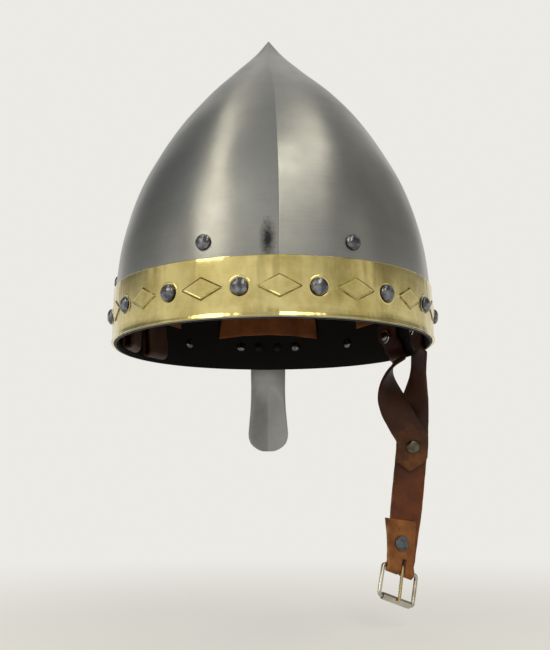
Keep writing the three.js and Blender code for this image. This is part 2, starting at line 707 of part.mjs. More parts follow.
// A flat strap lofted through stations { centre, across, width }. Across need not be square to the run.
function strapLoft(stations, thickness = STRAP_THICKNESS) {
  const rings = stations.map(({ centre, across, width = STRAP_WIDTH }, i) => {
    const next = stations[Math.min(i + 1, stations.length - 1)].centre;
    const before = stations[Math.max(i - 1, 0)].centre;
    const along = next.clone().sub(before).normalize();
    const side = across.clone().normalize();
    const face = along.clone().cross(side).normalize();
    return [[-1, -1], [1, -1], [1, 1], [-1, 1]].map(([u, v]) =>
      centre
        .clone()
        .addScaledVector(side, (u * width) / 2)
        .addScaledVector(face, (v * thickness) / 2));
  });
  return loft(rings);
}

const strapPoint = (pitch, height, depth) => insidePoint(pitch, height, depth + wallRise(height));

// The moving part of the strap bends about a line just under the rim
const strapDepth = GAP + STRAP_THICKNESS / 2;
const bendMargin = STRAP_BEND_GAP / 2;
const BEND_PITCH_SHARES = [-0.22, -0.38];
const bendPoints = ARM_PITCH_SHARES.map((pitch, i) =>
  insidePoint(pitch + BEND_PITCH_SHARES[i], 0, strapDepth + STRAP_BEND_INSETS[i]).setZ(-STRAP_BEND_DROP));
const bendLine = bendPoints[1].clone().sub(bendPoints[0]).normalize();

// Horizontal direction along the wall at a pitch
const wallAlong = (pitch) =>
  new THREE.Vector3(0, 0, 1).cross(skullNormal(angleAt(pitch), BAND_RIVET_HEIGHT)).normalize();

// The riveted end of each arm: flat on the wall, then off it to the bend
const ANCHOR_SHARES = [0, 0.2, 0.4, 0.6, 0.8, 1];
function makeAnchor(index) {
  const pitch = ARM_PITCH_SHARES[index];
  const top = BAND_RIVET_HEIGHT + STRAP_END_ABOVE_RIVET;
  const end = bendPoints[index].clone().setZ(-STRAP_BEND_DROP + bendMargin);
  const foot = 0.45 * BAND_RIVET_HEIGHT;
  const lean = BEND_PITCH_SHARES[index] * 0.5;
  const stations = ANCHOR_SHARES.map((share) => {
    const height = THREE.MathUtils.lerp(top, foot, share);
    const slide = lean * ease(share, 0.45, 1);
    return { centre: strapPoint(pitch + slide, height, strapDepth), across: wallAlong(pitch + slide) };
  });
  const wall = stations[stations.length - 1];
  const rimAcross = wallAlong(pitch + BEND_PITCH_SHARES[index]);
  for (const share of [0.3, 0.6, 0.85, 1]) {
    const swing = ease(share, 0, 0.85);
    const centre = wall.centre.clone().lerp(end, swing);
    centre.z = THREE.MathUtils.lerp(wall.centre.z, end.z, share);
    stations.push({ centre, across: share < 1 ? wall.across.clone().lerp(rimAcross, swing) : bendLine });
  }
  const { matrix } = bandRivetPlaces.find((spot) => spot.pitch === pitch);
  const deep = -strapInner - STRAP_THICKNESS;
  return cut(solidOf(strapLoft(stations)), [drill(matrix, holeRadius, deep, 0)]);
}
["strap_anchor_rear", "strap_anchor_front"].forEach((name, i) =>
  place(name, geometryOf(makeAnchor(i)), finishes.strapLeather));

// Buckle end of the strap. Below its junction the strap turns, so that it and the buckle face `barBack`.
const strapHang = new THREE.Group();
helmet.add(strapHang);
const junctionSide = RIM_HALF_WIDTH - JUNCTION_INSET;
const barSide = RIM_HALF_WIDTH - BAR_INSET;
const junction = new THREE.Vector3(junctionSide, JUNCTION_FRONT, -JUNCTION_DROP);
const toBack = new THREE.Vector3(0, -1, 0);
const barSlope = THREE.MathUtils.degToRad(BAR_SLOPE_DEGREES);
const barTurn = THREE.MathUtils.degToRad(BAR_TURN_DEGREES);
const barBack = new THREE.Vector3(Math.sin(barTurn), -Math.cos(barTurn), 0);
const barAlong = new THREE.Vector3(
  Math.cos(barTurn) * Math.cos(barSlope),
  Math.sin(barTurn) * Math.cos(barSlope),
  -Math.sin(barSlope),
);
const barDown = barAlong.clone().cross(barBack).normalize();
const foldRadius = WIRE_RADIUS + 1.4 * GAP + STRAP_THICKNESS / 2;
const layer = (STRAP_THICKNESS + GAP) / 2;
const barFront = JUNCTION_FRONT + (barSide - junctionSide) * Math.tan(barTurn) - layer / Math.cos(barTurn);
const bar = new THREE.Vector3(barSide, barFront, -BAR_DROP);
const hang = bar.clone().addScaledVector(barBack, -layer).sub(junction).normalize();
// Place on the fold's back layer, or between its layers, at a distance above the bar
const chapePoint = (rise, depth) =>
  bar
    .clone()
    .addScaledVector(hang, -rise)
    .addScaledVector(barBack, depth)
    .addScaledVector(barAlong, -FOLD_SKEW - (CHAPE_SKEW * rise) / CHAPE_LENGTH);

const turned = (from, to, share) => {
  const angle = from.angleTo(to);
  const axis = from.clone().cross(to).normalize();
  return from.clone().applyAxisAngle(axis, angle * share);
};

// Rear arm and the strap below it: one piece that turns square to the back, then folds round the bar
function buckleStrapStations() {
  const start = bendPoints[0].clone().setZ(-STRAP_BEND_DROP - bendMargin);
  const square = new THREE.Vector3(-1, 0, 0);
  const sloped = barAlong.clone().negate();
  const below = start.clone().setZ(start.z - STRAP_THICKNESS / 2);
  const stations = [{ centre: start, across: bendLine }];
  for (let i = 0; i <= 10; i++) {
    const share = i / 10;
    const centre = below.clone().lerp(junction, share);
    centre.x += REAR_ARM_BOW * Math.sin(Math.PI * share);
    centre.y = THREE.MathUtils.lerp(below.y, junction.y, ease(share, -0.05, 0.65));
    stations.push({ centre, across: turned(bendLine, square, ease(share, 0.1, 0.85)) });
  }
  const straight = bar
    .clone()
    .addScaledVector(hang, -3 * foldRadius)
    .addScaledVector(barBack, -layer)
    .addScaledVector(barAlong, FOLD_SKEW);
  for (const share of [0.12, 0.2, 0.28, 0.36, 0.43, 0.5, 0.75, 1]) {
    const centre = junction.clone().lerp(straight, share);
    stations.push({ centre, across: turned(square, sloped, ease(share, 0.12, 0.5)) });
  }
  for (let i = 0; i <= 8; i++) {
    const turn = (Math.PI * i) / 8;
    const centre = bar
      .clone()
      .addScaledVector(barBack, -foldRadius * Math.cos(turn))
      .addScaledVector(barDown, foldRadius * Math.sin(turn))
      .addScaledVector(barAlong, FOLD_SKEW * Math.cos(turn));
    stations.push({ centre, across: sloped });
  }
  for (const share of [0.3, 0.65, 1])
    stations.push({ centre: chapePoint(CHAPE_LENGTH * share, layer), across: sloped });
  return stations;
}

// Matrix with +Z out of the strap's back face and +X across it
function strapMatrix(centre, across, back) {
  return new THREE.Matrix4().makeBasis(across, back.clone().cross(across), back).setPosition(centre);
}
const junctionMatrix = strapMatrix(junction, new THREE.Vector3(1, 0, 0), toBack);
const chapeMatrix = strapMatrix(chapePoint(CHAPE_RIVET_RISE, 0), barAlong, barBack);

function makeBuckleStrap() {
  const leather = solidOf(strapLoft(buckleStrapStations()));
  const slot = new THREE.BoxGeometry(2 * PRONG_RADIUS + 4 * GAP, 8 * foldRadius, 2 * SLOT_REACH);
  const slotMatrix = new THREE.Matrix4()
    .makeBasis(barAlong, barBack.clone().negate(), barDown.clone().negate())
    .setPosition(bar);
  const through = 2 * STRAP_THICKNESS + GAP;
  return cut(leather, [
    solidOf(slot, slotMatrix),
    drill(junctionMatrix, holeRadius, -through, through),
    drill(chapeMatrix, holeRadius, -through, through),
  ]);
}
place("buckle_strap", geometryOf(makeBuckleStrap()), finishes.strapLeather, null, strapHang);

// Front arm: bows inwards, turns over and lies on the back face of the strap
const ARM_TIP_SHARES = [
  [0.45, 1],
  [0.62, 0.9],
  [1, 0.12],
];
function makeFrontArm() {
  const start = bendPoints[1].clone().setZ(-STRAP_BEND_DROP - bendMargin);
  const end = junction.clone().addScaledVector(toBack, STRAP_THICKNESS + ARM_GAP);
  const landing = end.clone().addScaledVector(hang, -STRAP_RIVET_RADIUS);
  const across = new THREE.Vector3(1, 0, 0);
  const lean = THREE.MathUtils.degToRad(FRONT_ARM_LEAN_DEGREES);
  const leaning = new THREE.Vector3(Math.cos(lean), 0, Math.sin(lean));
  const below = start.clone().setZ(start.z - STRAP_THICKNESS / 2);
  const stations = [{ centre: start, across: bendLine }];
  for (let i = 0; i <= 12; i++) {
    const share = i / 12;
    const centre = below.clone().lerp(landing, share);
    centre.x -= FRONT_ARM_BOW * Math.sin(Math.PI * share ** 0.72);
    centre.y = THREE.MathUtils.lerp(below.y, landing.y, ease(share, -0.05, 0.5));
    centre.y -= FRONT_ARM_LIFT * Math.sin(Math.PI * share);
    const swing = turned(bendLine, leaning, ease(share, -0.3, 0.85));
    stations.push({ centre, across: swing });
  }
  stations.push({ centre: end, across: leaning.clone().lerp(across, 0.6) });
  for (const [share, width] of ARM_TIP_SHARES)
    stations.push({
      centre: end.clone().addScaledVector(hang, ARM_TAB * share),
      across,
      width: STRAP_WIDTH * width,
    });
  const through = 3 * STRAP_THICKNESS;
  return cut(solidOf(strapLoft(stations)), [drill(junctionMatrix, holeRadius, -through, 2 * through)]);
}
place("buckle_strap_arm", geometryOf(makeFrontArm()), finishes.strapLeather, null, strapHang);

// Capped rivets through the leather
const capSeat = STRAP_THICKNESS / 2 + GAP;
place(
  "junction_rivet",
  rivetGeometry({
    radius: STRAP_RIVET_RADIUS,
    dome: STRAP_RIVET_CAP,
    seat: capSeat + STRAP_THICKNESS + ARM_GAP + GAP / 2,
    grip: capSeat,
  }),
  finishes.nickel,
  junctionMatrix,
  strapHang,
);
place(
  "chape_rivet",
  rivetGeometry({
    radius: CHAPE_RIVET_RADIUS,
    dome: CHAPE_RIVET_CAP,
    seat: layer + capSeat,
    grip: layer + capSeat,
  }),
  finishes.nickel,
  chapeMatrix,
  strapHang,
);

// Buckle: a bent wire frame, a roller on its far side and a prong hooked round its bar
const buckle = new THREE.Group();
const buckleDown = barDown.clone().applyAxisAngle(barAlong, -THREE.MathUtils.degToRad(BUCKLE_REST_DEGREES));
buckle.applyMatrix4(
  new THREE.Matrix4().makeBasis(barAlong, buckleDown, barAlong.clone().cross(buckleDown)).setPosition(bar),
);
strapHang.add(buckle);
const frameHalfWidth = STRAP_WIDTH / 2 + FRAME_CLEARANCE + WIRE_RADIUS;

function framePath() {
  const outline = new THREE.Path();
  const left = -frameHalfWidth;
  const right = frameHalfWidth;
  outline.moveTo(left + FRAME_CORNER, 0);
  outline.lineTo(right - FRAME_CORNER, 0);
  outline.absarc(right - FRAME_CORNER, FRAME_CORNER, FRAME_CORNER, -Math.PI / 2, 0);
  outline.lineTo(right, FRAME_LENGTH - FRAME_CORNER);
  outline.absarc(right - FRAME_CORNER, FRAME_LENGTH - FRAME_CORNER, FRAME_CORNER, 0, Math.PI / 2);
  outline.lineTo(left + FRAME_CORNER, FRAME_LENGTH);
  outline.absarc(left + FRAME_CORNER, FRAME_LENGTH - FRAME_CORNER, FRAME_CORNER, Math.PI / 2, Math.PI);
  outline.lineTo(left, FRAME_CORNER);
  outline.absarc(left + FRAME_CORNER, FRAME_CORNER, FRAME_CORNER, Math.PI, 1.5 * Math.PI);
  const points = outline.getPoints(3).map(({ x, y }) => new THREE.Vector3(x, y, 0));
  return points.filter((point, i) => point.distanceTo(points[(i + 1) % points.length]) > GAP);
}
place("buckle_frame", sweep(framePath(), WIRE_RADIUS, WIRE_SIDES, true), finishes.nickel, null, buckle);

const rollerInner = WIRE_RADIUS + GAP;
const rollerOuter = rollerInner + ROLLER_WALL;
const rollerHalf = frameHalfWidth - FRAME_CORNER - 2 * GAP;
const rollerProfile = [
  [rollerInner, -rollerHalf],
  [rollerOuter, -rollerHalf],
  [rollerOuter, rollerHalf],
  [rollerInner, rollerHalf],
  [rollerInner, -rollerHalf],
].map(([radius, along]) => new THREE.Vector2(radius, along));
place(
  "buckle_roller",
  new THREE.LatheGeometry(rollerProfile, ROUND_SIDES),
  finishes.nickel,
  new THREE.Matrix4().makeRotationZ(Math.PI / 2).setPosition(0, FRAME_LENGTH, 0),
  buckle,
);

// The prong's hook goes most of the way round the bar, and its tip rests on the roller
const PRONG_HOOK_DEGREES = 250;
function makeProng() {
  const hook = WIRE_RADIUS + GAP + PRONG_RADIUS;
  const rest = rollerOuter + GAP + PRONG_RADIUS;
  const points = [];
  for (let i = 10; i > 0; i--) {
    const turn = -THREE.MathUtils.degToRad((PRONG_HOOK_DEGREES * i) / 10);
    points.push(new THREE.Vector3(0, hook * Math.sin(turn), -hook * Math.cos(turn)));
  }
  for (const share of [0, 0.35, 0.7, 1, 1.08])
    points.push(new THREE.Vector3(0, FRAME_LENGTH * share, -THREE.MathUtils.lerp(hook, rest, share)));
  return sweep(points, PRONG_RADIUS, HOLE_SIDES, false, new THREE.Vector3(1, 0, 0));
}
place("buckle_prong", makeProng(), finishes.brass, null, buckle);

// Left strap: its arms turn up inside the rim, and the rest is tucked between the liner and the skull
const tuckClear = BAND_RIVET_HEIGHT + WASHER_RADIUS;
const tuckTop = SKULL_HEIGHT - TUCK_TOP_DROP;

// Stations [pitch, height, depth] on the wall, each with the strap's width square to its run
function wallStations(spots) {
  const centres = spots.map(([pitch, height, depth]) => strapPoint(pitch, height, depth));
  return spots.map(([pitch, , , width = 1], i) => {
    const next = centres[Math.min(i + 1, centres.length - 1)];
    const along = next.clone().sub(centres[Math.max(i - 1, 0)]).normalize();
    const flat = wallAlong(pitch);
    const across = flat.addScaledVector(along, -flat.dot(along));
    return { centre: centres[i], across, width: STRAP_WIDTH * width };
  });
}

// From the riveted end down the wall, round under the rivet and up to the junction's height
function tuckedArm(pitch, junctionDepth) {
  const middle = -SIDE_TONGUE_PITCH_SHARE;
  const top = BAND_RIVET_HEIGHT + STRAP_END_ABOVE_RIVET;
  const spots = [];
  for (const share of [0, 0.33, 0.67])
    spots.push([pitch, THREE.MathUtils.lerp(top, TUCK_TURN_HEIGHT, share), strapDepth]);
  const radius = (tuckDepth - strapDepth) / 2;
  for (let i = 0; i <= 6; i++) {
    const turn = (Math.PI * i) / 6;
    const depth = (strapDepth + tuckDepth) / 2 - radius * Math.cos(turn);
    spots.push([pitch, TUCK_TURN_HEIGHT - radius * Math.sin(turn), depth]);
  }
  for (let i = 1; i <= 8; i++) {
    const height = THREE.MathUtils.lerp(TUCK_TURN_HEIGHT, TUCK_JUNCTION_HEIGHT, i / 8);
    const drift = ease(height, TUCK_TURN_HEIGHT, TUCK_JUNCTION_HEIGHT);
    const settle = ease(height, tuckClear, LINER_RIVET_HEIGHT);
    spots.push([
      THREE.MathUtils.lerp(pitch, middle, drift),
      height,
      THREE.MathUtils.lerp(tuckDepth, junctionDepth, settle),
    ]);
  }
  return spots;
}

const [rearPitch, frontPitch] = ARM_PITCH_SHARES.map((pitch) => -pitch);
const tuckRivetCentre = strapPoint(-SIDE_TONGUE_PITCH_SHARE, TUCK_JUNCTION_HEIGHT, tuckJunctionDepth);
const tuckRivetMatrix = wallMatrix(angleAt(-SIDE_TONGUE_PITCH_SHARE), TUCK_JUNCTION_HEIGHT)
  .setPosition(tuckRivetCentre)
  .multiply(new THREE.Matrix4().makeRotationY(Math.PI));
const armDrill = (pitch) =>
  drill(wallMatrix(angleAt(pitch), BAND_RIVET_HEIGHT), holeRadius, -strapInner - 2 * GAP, 0);
const tuckDrill = drill(tuckRivetMatrix, holeRadius, -2 * STRAP_THICKNESS, 3 * STRAP_THICKNESS);

function makeTongueStrap() {
  const spots = tuckedArm(rearPitch, tuckJunctionDepth);
  const TAIL_SHARES = [0.15, 0.3, 0.45, 0.6, 0.75, 0.88, 0.96, 1];
  for (const share of TAIL_SHARES) {
    const height = THREE.MathUtils.lerp(TUCK_JUNCTION_HEIGHT, tuckTop, share);
    const depth = THREE.MathUtils.lerp(tuckJunctionDepth, strapDepth + 3 * GAP, ease(share, 0, 0.3));
    spots.push([-SIDE_TONGUE_PITCH_SHARE, height, depth, share < 0.9 ? 1 : share < 1 ? 0.7 : 0.2]);
  }
  const punches = Array.from({ length: PUNCH_COUNT }, (_, i) => {
    const height = tuckTop - (i + 1.4) * PUNCH_PITCH;
    const matrix = wallMatrix(angleAt(-SIDE_TONGUE_PITCH_SHARE), height);
    return drill(matrix, PUNCH_RADIUS, -3 * (SHEET + STRAP_THICKNESS), 0);
  });
  return cut(solidOf(strapLoft(wallStations(spots))), [armDrill(rearPitch), tuckDrill, ...punches]);
}
place("tongue_strap", geometryOf(makeTongueStrap()), finishes.strapLeather);

function makeTongueStrapArm() {
  const depth = tuckJunctionDepth + STRAP_THICKNESS + GAP + wallRise(TUCK_JUNCTION_HEIGHT);
  const spots = tuckedArm(frontPitch, depth);
  for (const [share, width] of ARM_TIP_SHARES)
    spots.push([-SIDE_TONGUE_PITCH_SHARE, TUCK_JUNCTION_HEIGHT + ARM_TAB * share, depth, width]);
  return cut(solidOf(strapLoft(wallStations(spots))), [armDrill(frontPitch), tuckDrill]);
}
place("tongue_strap_arm", geometryOf(makeTongueStrapArm()), finishes.strapLeather);
place(
  "tuck_rivet",
  rivetGeometry({
    radius: STRAP_RIVET_RADIUS,
    dome: CHAPE_RIVET_CAP,
    seat: capSeat + STRAP_THICKNESS + GAP + wallRise(TUCK_JUNCTION_HEIGHT),
    grip: capSeat,
  }),
  finishes.nickel,
  tuckRivetMatrix,
);

export default helmet;
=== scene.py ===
"""The looks of a conical nasal helmet: satin steel skull, polished brass brow band, hammered rivets,
riveted leather liner and a buckled chin strap. Shapes are worked out in millimetres and made in metres."""

import math
from collections import namedtuple

import bmesh
import bpy
from bpy.props import FloatProperty, FloatVectorProperty, IntProperty, PointerProperty
from mathutils import Matrix, Vector, noise


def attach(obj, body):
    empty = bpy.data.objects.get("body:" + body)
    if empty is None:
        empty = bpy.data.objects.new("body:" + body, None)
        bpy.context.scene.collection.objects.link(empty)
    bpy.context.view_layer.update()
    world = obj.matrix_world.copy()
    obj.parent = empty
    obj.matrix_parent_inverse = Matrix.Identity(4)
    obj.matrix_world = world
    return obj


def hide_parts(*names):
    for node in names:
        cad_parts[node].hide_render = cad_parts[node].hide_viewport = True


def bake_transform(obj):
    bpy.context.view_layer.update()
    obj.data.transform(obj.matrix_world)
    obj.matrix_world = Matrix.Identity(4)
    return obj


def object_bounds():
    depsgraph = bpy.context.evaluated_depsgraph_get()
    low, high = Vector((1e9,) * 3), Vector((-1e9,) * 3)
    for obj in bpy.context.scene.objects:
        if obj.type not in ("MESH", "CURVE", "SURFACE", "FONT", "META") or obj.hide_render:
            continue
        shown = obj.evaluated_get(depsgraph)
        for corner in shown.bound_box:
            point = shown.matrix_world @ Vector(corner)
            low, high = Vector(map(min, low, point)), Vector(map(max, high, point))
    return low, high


bl_info = {
    "name": "Nasal Helmet",
    "version": (1, 0, 0),
    "blender": (4, 5, 0),
    "location": "View3D > Sidebar > Helmet",
    "description": "Makes the pieces and finishes of a riveted nasal helmet",
    "category": "Add Mesh",
}

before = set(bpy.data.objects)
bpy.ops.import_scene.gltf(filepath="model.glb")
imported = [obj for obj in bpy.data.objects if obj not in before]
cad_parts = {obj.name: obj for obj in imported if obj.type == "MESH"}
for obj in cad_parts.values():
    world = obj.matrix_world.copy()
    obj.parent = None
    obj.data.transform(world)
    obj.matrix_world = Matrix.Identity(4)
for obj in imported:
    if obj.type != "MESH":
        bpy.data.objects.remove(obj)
CAD_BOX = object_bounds()
MM = 0.001


def linear(hex_colour):
    """An sRGB hex colour as linear red, green, blue."""
    channels = [int(hex_colour[i : i + 2], 16) / 255 for i in (1, 3, 5)]
    return tuple(c / 12.92 if c <= 0.04045 else ((c + 0.055) / 1.055) ** 2.4 for c in channels)


# Sizes in millimetres. Those of the pieces are as the solids have them
RIM_HALF_WIDTH = 103.2
BACK_DEPTH = 119
FRONT_DEPTH = 114.8
SKULL_HEIGHT = 218
SHEET = 1.5
RIDGE_HEIGHT = 2.8
RIDGE_REACH = 24
RIDGE_FADE = 26
GAP = 0.3
SOFT_EDGE = 0.25
BAND_HEIGHT = 35
BAND_THICKNESS = 1
BAND_SET_UP = 0.8
LIP_HEIGHT = 2.4
LIP_FLARE = 0.6
LOZENGE_WIDTH = 22.6
LOZENGE_HEIGHT = 11.7
LOZENGE_RELIEF = 0.5
LOZENGE_CHAMFER = 0.95
LOZENGE_RIM_WIDTH = 0.5
LOZENGE_RIM_RISE = 0.14
PATTERN_COUNT = 16
SHANK_RADIUS = 2
BAND_RIVET_HEIGHT = 17.5
BAND_RIVET_RADIUS = 4.95
BAND_RIVET_DOME = 3
HAMMER_SPACING = 2.6
LINER_RIVET_HEIGHT = 44.5
LINER_RIVET_RADIUS = 4.65
LINER_RIVET_DOME = 2.8
TAIL_RADIUS = 3.4
TAIL_HEIGHT = 1.3
WASHER_RADIUS = 5
WASHER_THICKNESS = 1
WASHER_CHAMFER = 0.3
RIVET_FACETS = 28
NASAL_THICKNESS = 2.5
NASAL_HALF_WIDTH = 13
NASAL_DROP = 63
NASAL_RISE = 18
NASAL_LEAN = 3
NASAL_CROWN = 3.5
NASAL_TOP_RIVET_RISE = 11
NASAL_RIVET_OFFSET = 7.6
NASAL_RIVET_RADIUS = 4
NASAL_RIVET_DOME = 2.4
NASAL_JOGGLE = 3
LINER_LEATHER = 2
LINER_STAND_OFF = 0.75
LINER_TOP = SKULL_HEIGHT - 68
LINER_LEAVE_RISE = 13
BELLY_EDGE = 5
TONGUE_TIP_RING = 26
TONGUE_TIP_HALF_WIDTH = 13
FRONT_LINER_RIVET_OFFSET = 31
LACE_RADIUS = 1.3
LACE_BEND_DEGREES = 33
STRAP_WIDTH = 22
STRAP_THICKNESS = 2.2
STRAP_END_ABOVE_RIVET = 9.5
STRAP_BEND_DROP = 2
STRAP_BEND_INSETS = (0.6, 2.3)
JUNCTION = Vector((RIM_HALF_WIDTH - 4.8, 42.5, -63.5))
ARM_TAB = 16.5
REAR_ARM_BOW = 1
FRONT_ARM_BOW = 12
FRONT_ARM_LIFT = 6.6
ARM_GAP = 0.45
FRONT_ARM_LEAN_DEGREES = 17
STRAP_RIVET_RADIUS = 4.6
STRAP_RIVET_CAP = 1.6
BAR_SIDE = RIM_HALF_WIDTH - 16.7
BAR_DROP = 146
BAR_SLOPE_DEGREES = 20
BAR_TURN_DEGREES = 25
BUCKLE_REST_DEGREES = 12
WIRE_RADIUS = 1.4
FRAME_CLEARANCE = 1.6
FRAME_LENGTH = 21
FRAME_CORNER = 2
ROLLER_WALL = 0.8
PRONG_RADIUS = 1.1
PRONG_HOOK_DEGREES = 250
SLOT_REACH = 7.2
FOLD_SKEW = 1.2
CHAPE_SKEW = 2
CHAPE_LENGTH = 33
CHAPE_RIVET_RISE = 17
CHAPE_RIVET_RADIUS = 5.1
CHAPE_RIVET_CAP = 1
TUCK_JUNCTION_HEIGHT = 84
TUCK_TOP = SKULL_HEIGHT - 36
TUCK_TURN_HEIGHT = 6
PUNCH_RADIUS = 1.8
PUNCH_COUNT = 5
PUNCH_PITCH = 15
ARM_PITCHES = (4.5, 5.5)
SIDE_TONGUE_PITCH = 5
SECTION_POWER = 2.1
TOP_LEAN = -1.6
TOP_LEAN_HEIGHTS = (155, 192)
CREST_KINK_HEIGHT = 176
CREST_KINK_REACH = 15
FLOOR_DROP = 12
FLOOR_RADIUS = 6000
PROFILE_SHARES = (
    (0, 1), (0.08, 1), (0.16, 0.995), (0.26, 0.974), (0.36, 0.928), (0.46, 0.857), (0.56, 0.751),
    (0.66, 0.622), (0.76, 0.457), (0.86, 0.254), (0.94, 0.0955), (1, 0),
)


def clamp(value, low=0, high=1):
    return min(max(value, low), high)


def mix(a, b, share):
    return a + (b - a) * share


def ease(value, low, high):
    """Smooth step from 0 to 1 while value goes from low to high."""
    share = clamp((value - low) / (high - low))
    return share * share * (3 - 2 * share)


def bent(value, power):
    return math.copysign(abs(value) ** power, value)


# The skull's surface
def width_share(height_share):
    """Share of the rim's half width, a monotone cubic through the profile's points."""
    last = len(PROFILE_SHARES) - 1
    at = clamp(height_share)
    i = 0
    while i < last - 1 and PROFILE_SHARES[i + 1][0] < at:
        i += 1

    def slope(k):
        (x0, y0), (x1, y1) = PROFILE_SHARES[k], PROFILE_SHARES[k + 1]
        return (y1 - y0) / (x1 - x0)

    def tangent(k):
        if k in (0, last):
            return slope(min(k, last - 1))
        before, after = slope(k - 1), slope(k)
        return 0 if before * after <= 0 else 2 * before * after / (before + after)

    (x0, y0), (x1, y1) = PROFILE_SHARES[i], PROFILE_SHARES[i + 1]
    span = x1 - x0
    t = (at - x0) / span
    stay = (1 + 2 * t) * (1 - t) ** 2
    bend = t * (1 - t) ** 2 * span * tangent(i) + t * t * (t - 1) * span * tangent(i + 1)
    return y0 * stay + y1 * (1 - stay) + bend


def ridge_at(height):
    rise = 0.35 + 0.65 * ease(height, 0, SKULL_HEIGHT / 3)
    return RIDGE_HEIGHT * rise * min(1, (SKULL_HEIGHT - height) / RIDGE_FADE)


def skull_point(angle, height):
    """Outside of the skull. The angle is 0 at the back and grows towards +X."""
    share = width_share(height / SKULL_HEIGHT)
    half_width = RIM_HALF_WIDTH * share
    depth = (BACK_DEPTH if math.cos(angle) > 0 else FRONT_DEPTH) * share
    x = half_width * bent(math.sin(angle), 2 / SECTION_POWER)
    y = -depth * bent(math.cos(angle), 2 / SECTION_POWER)
    reach = min(RIDGE_REACH, half_width * 0.8) or 1
    if abs(x) < reach:
        y -= math.copysign(ridge_at(height) * (1 - abs(x) / reach) ** 2, math.cos(angle))
    return Vector((x, y, height))


def skull_normal(angle, height):
    turn = 0.01
    rise = SKULL_HEIGHT / 400
    low, high = max(height - rise, 0), min(height + rise, SKULL_HEIGHT)
    along = skull_point(angle + turn, height) - skull_point(angle - turn, height)
    return along.cross(skull_point(angle, high) - skull_point(angle, low)).normalized()


def offset_point(angle, height, offset):
    return skull_point(angle, height) + skull_normal(angle, height) * offset


OUTLINE_STEPS = 1440
OUTLINE = [skull_point(math.tau * i / OUTLINE_STEPS, BAND_RIVET_HEIGHT) for i in range(OUTLINE_STEPS + 1)]
OUTLINE_LENGTHS = [0]
for before, here in zip(OUTLINE, OUTLINE[1:]):
    OUTLINE_LENGTHS.append(OUTLINE_LENGTHS[-1] + (here - before).length)
PITCH = OUTLINE_LENGTHS[-1] / PATTERN_COUNT


def angle_at(pitches):
    """Angle at a number of pattern pitches from the back, measured along the outline."""
    wanted = (pitches % PATTERN_COUNT) * PITCH
    low, high = 0, OUTLINE_STEPS
    while high - low > 1:
        middle = (low + high) // 2
        low, high = (middle, high) if OUTLINE_LENGTHS[middle] < wanted else (low, middle)
    part = (wanted - OUTLINE_LENGTHS[low]) / (OUTLINE_LENGTHS[high] - OUTLINE_LENGTHS[low])
    return (low + part) * math.tau / OUTLINE_STEPS


def front_angle(side, height):
    half_width = RIM_HALF_WIDTH * width_share(height / SKULL_HEIGHT)
    return math.pi - math.copysign(math.asin(min(1, abs(side / half_width) ** (SECTION_POWER / 2))), side)


def wall_frame(angle, height):
    """Point on the skull's outside with its outward and upward directions."""
    out = skull_normal(angle, height)
    across = Vector((0, 0, 1)).cross(out).normalized()
    return skull_point(angle, height), out, out.cross(across)


def inside_point(pitch, height, depth):
    return offset_point(angle_at(pitch), height, -SHEET - depth)


def wall_rise(height, half=STRAP_WIDTH / 2):
    """How far a flat strap stands off the curved wall."""
    return half**2 / (2 * RIM_HALF_WIDTH * width_share(height / SKULL_HEIGHT))


def strap_point(pitch, height, depth):
    return inside_point(pitch, height, depth + wall_rise(height))


def wall_along(pitch):
    return Vector((0, 0, 1)).cross(skull_normal(angle_at(pitch), BAND_RIVET_HEIGHT)).normalized()


def crease_fall(height):
    return ridge_at(height) * (1 - (1 - TAIL_RADIUS / RIDGE_REACH) ** 2)


# Depths that pieces share
STRAP_INNER = SHEET + GAP + STRAP_THICKNESS + wall_rise(BAND_RIVET_HEIGHT)
TUCK_INNER = STRAP_INNER - SHEET + 2 * GAP + WASHER_THICKNESS + TAIL_HEIGHT
TUCK_DEPTH = TUCK_INNER + GAP + STRAP_THICKNESS / 2
TUCK_JUNCTION_DEPTH = 2 * GAP + TAIL_HEIGHT + STRAP_THICKNESS / 2
BAND_OUTER = GAP + BAND_THICKNESS
LINER_INNER = SHEET + LINER_STAND_OFF + LINER_LEATHER + 2 * wall_rise(LINER_RIVET_HEIGHT, WASHER_RADIUS)
STRAP_DEPTH = GAP + STRAP_THICKNESS / 2


# Making meshes
def linked(name, data):
    """A new object in the scene."""
    made = bpy.data.objects.new(name, data)
    bpy.context.scene.collection.objects.link(made)
    return made


def mesh_object(name, points, faces, materials, face_materials=None, sharp_degrees=None):
    """An object from points in millimetres. Faces that meet at more than sharp_degrees keep their edge."""
    mesh = bpy.data.meshes.new(name)
    mesh.from_pydata([Vector(p) * MM for p in points], [], faces)
    for material in materials:
        mesh.materials.append(material)
    if face_materials:
        mesh.polygons.foreach_set("material_index", face_materials)
    shape = bmesh.new()
    shape.from_mesh(mesh)
    bmesh.ops.remove_doubles(shape, verts=shape.verts, dist=1e-7)
    bmesh.ops.recalc_face_normals(shape, faces=shape.faces)
    for face in shape.faces:
        face.smooth = True
    if sharp_degrees:
        limit = math.radians(sharp_degrees)
        for edge in shape.edges:
            edge.smooth = len(edge.link_faces) == 2 and edge.calc_face_angle() < limit
    shape.to_mesh(mesh)
    shape.free()
    return linked(name, mesh)


def loft(rings, joined=False, capped=True):
    """Points and faces of a tube through rings of the same count."""
    count = len(rings[0])
    points = [point for ring in rings for point in ring]
    faces = []
    for i in range(len(rings) if joined else len(rings) - 1):
        first, second = i * count, (i + 1) % len(rings) * count
        for j in range(count):
            k = (j + 1) % count
            faces.append((first + j, first + k, second + k, second + j))
    if capped and not joined:
        faces.append(tuple(reversed(range(count))))
        faces.append(tuple(range(len(points) - count, len(points))))
    return points, faces


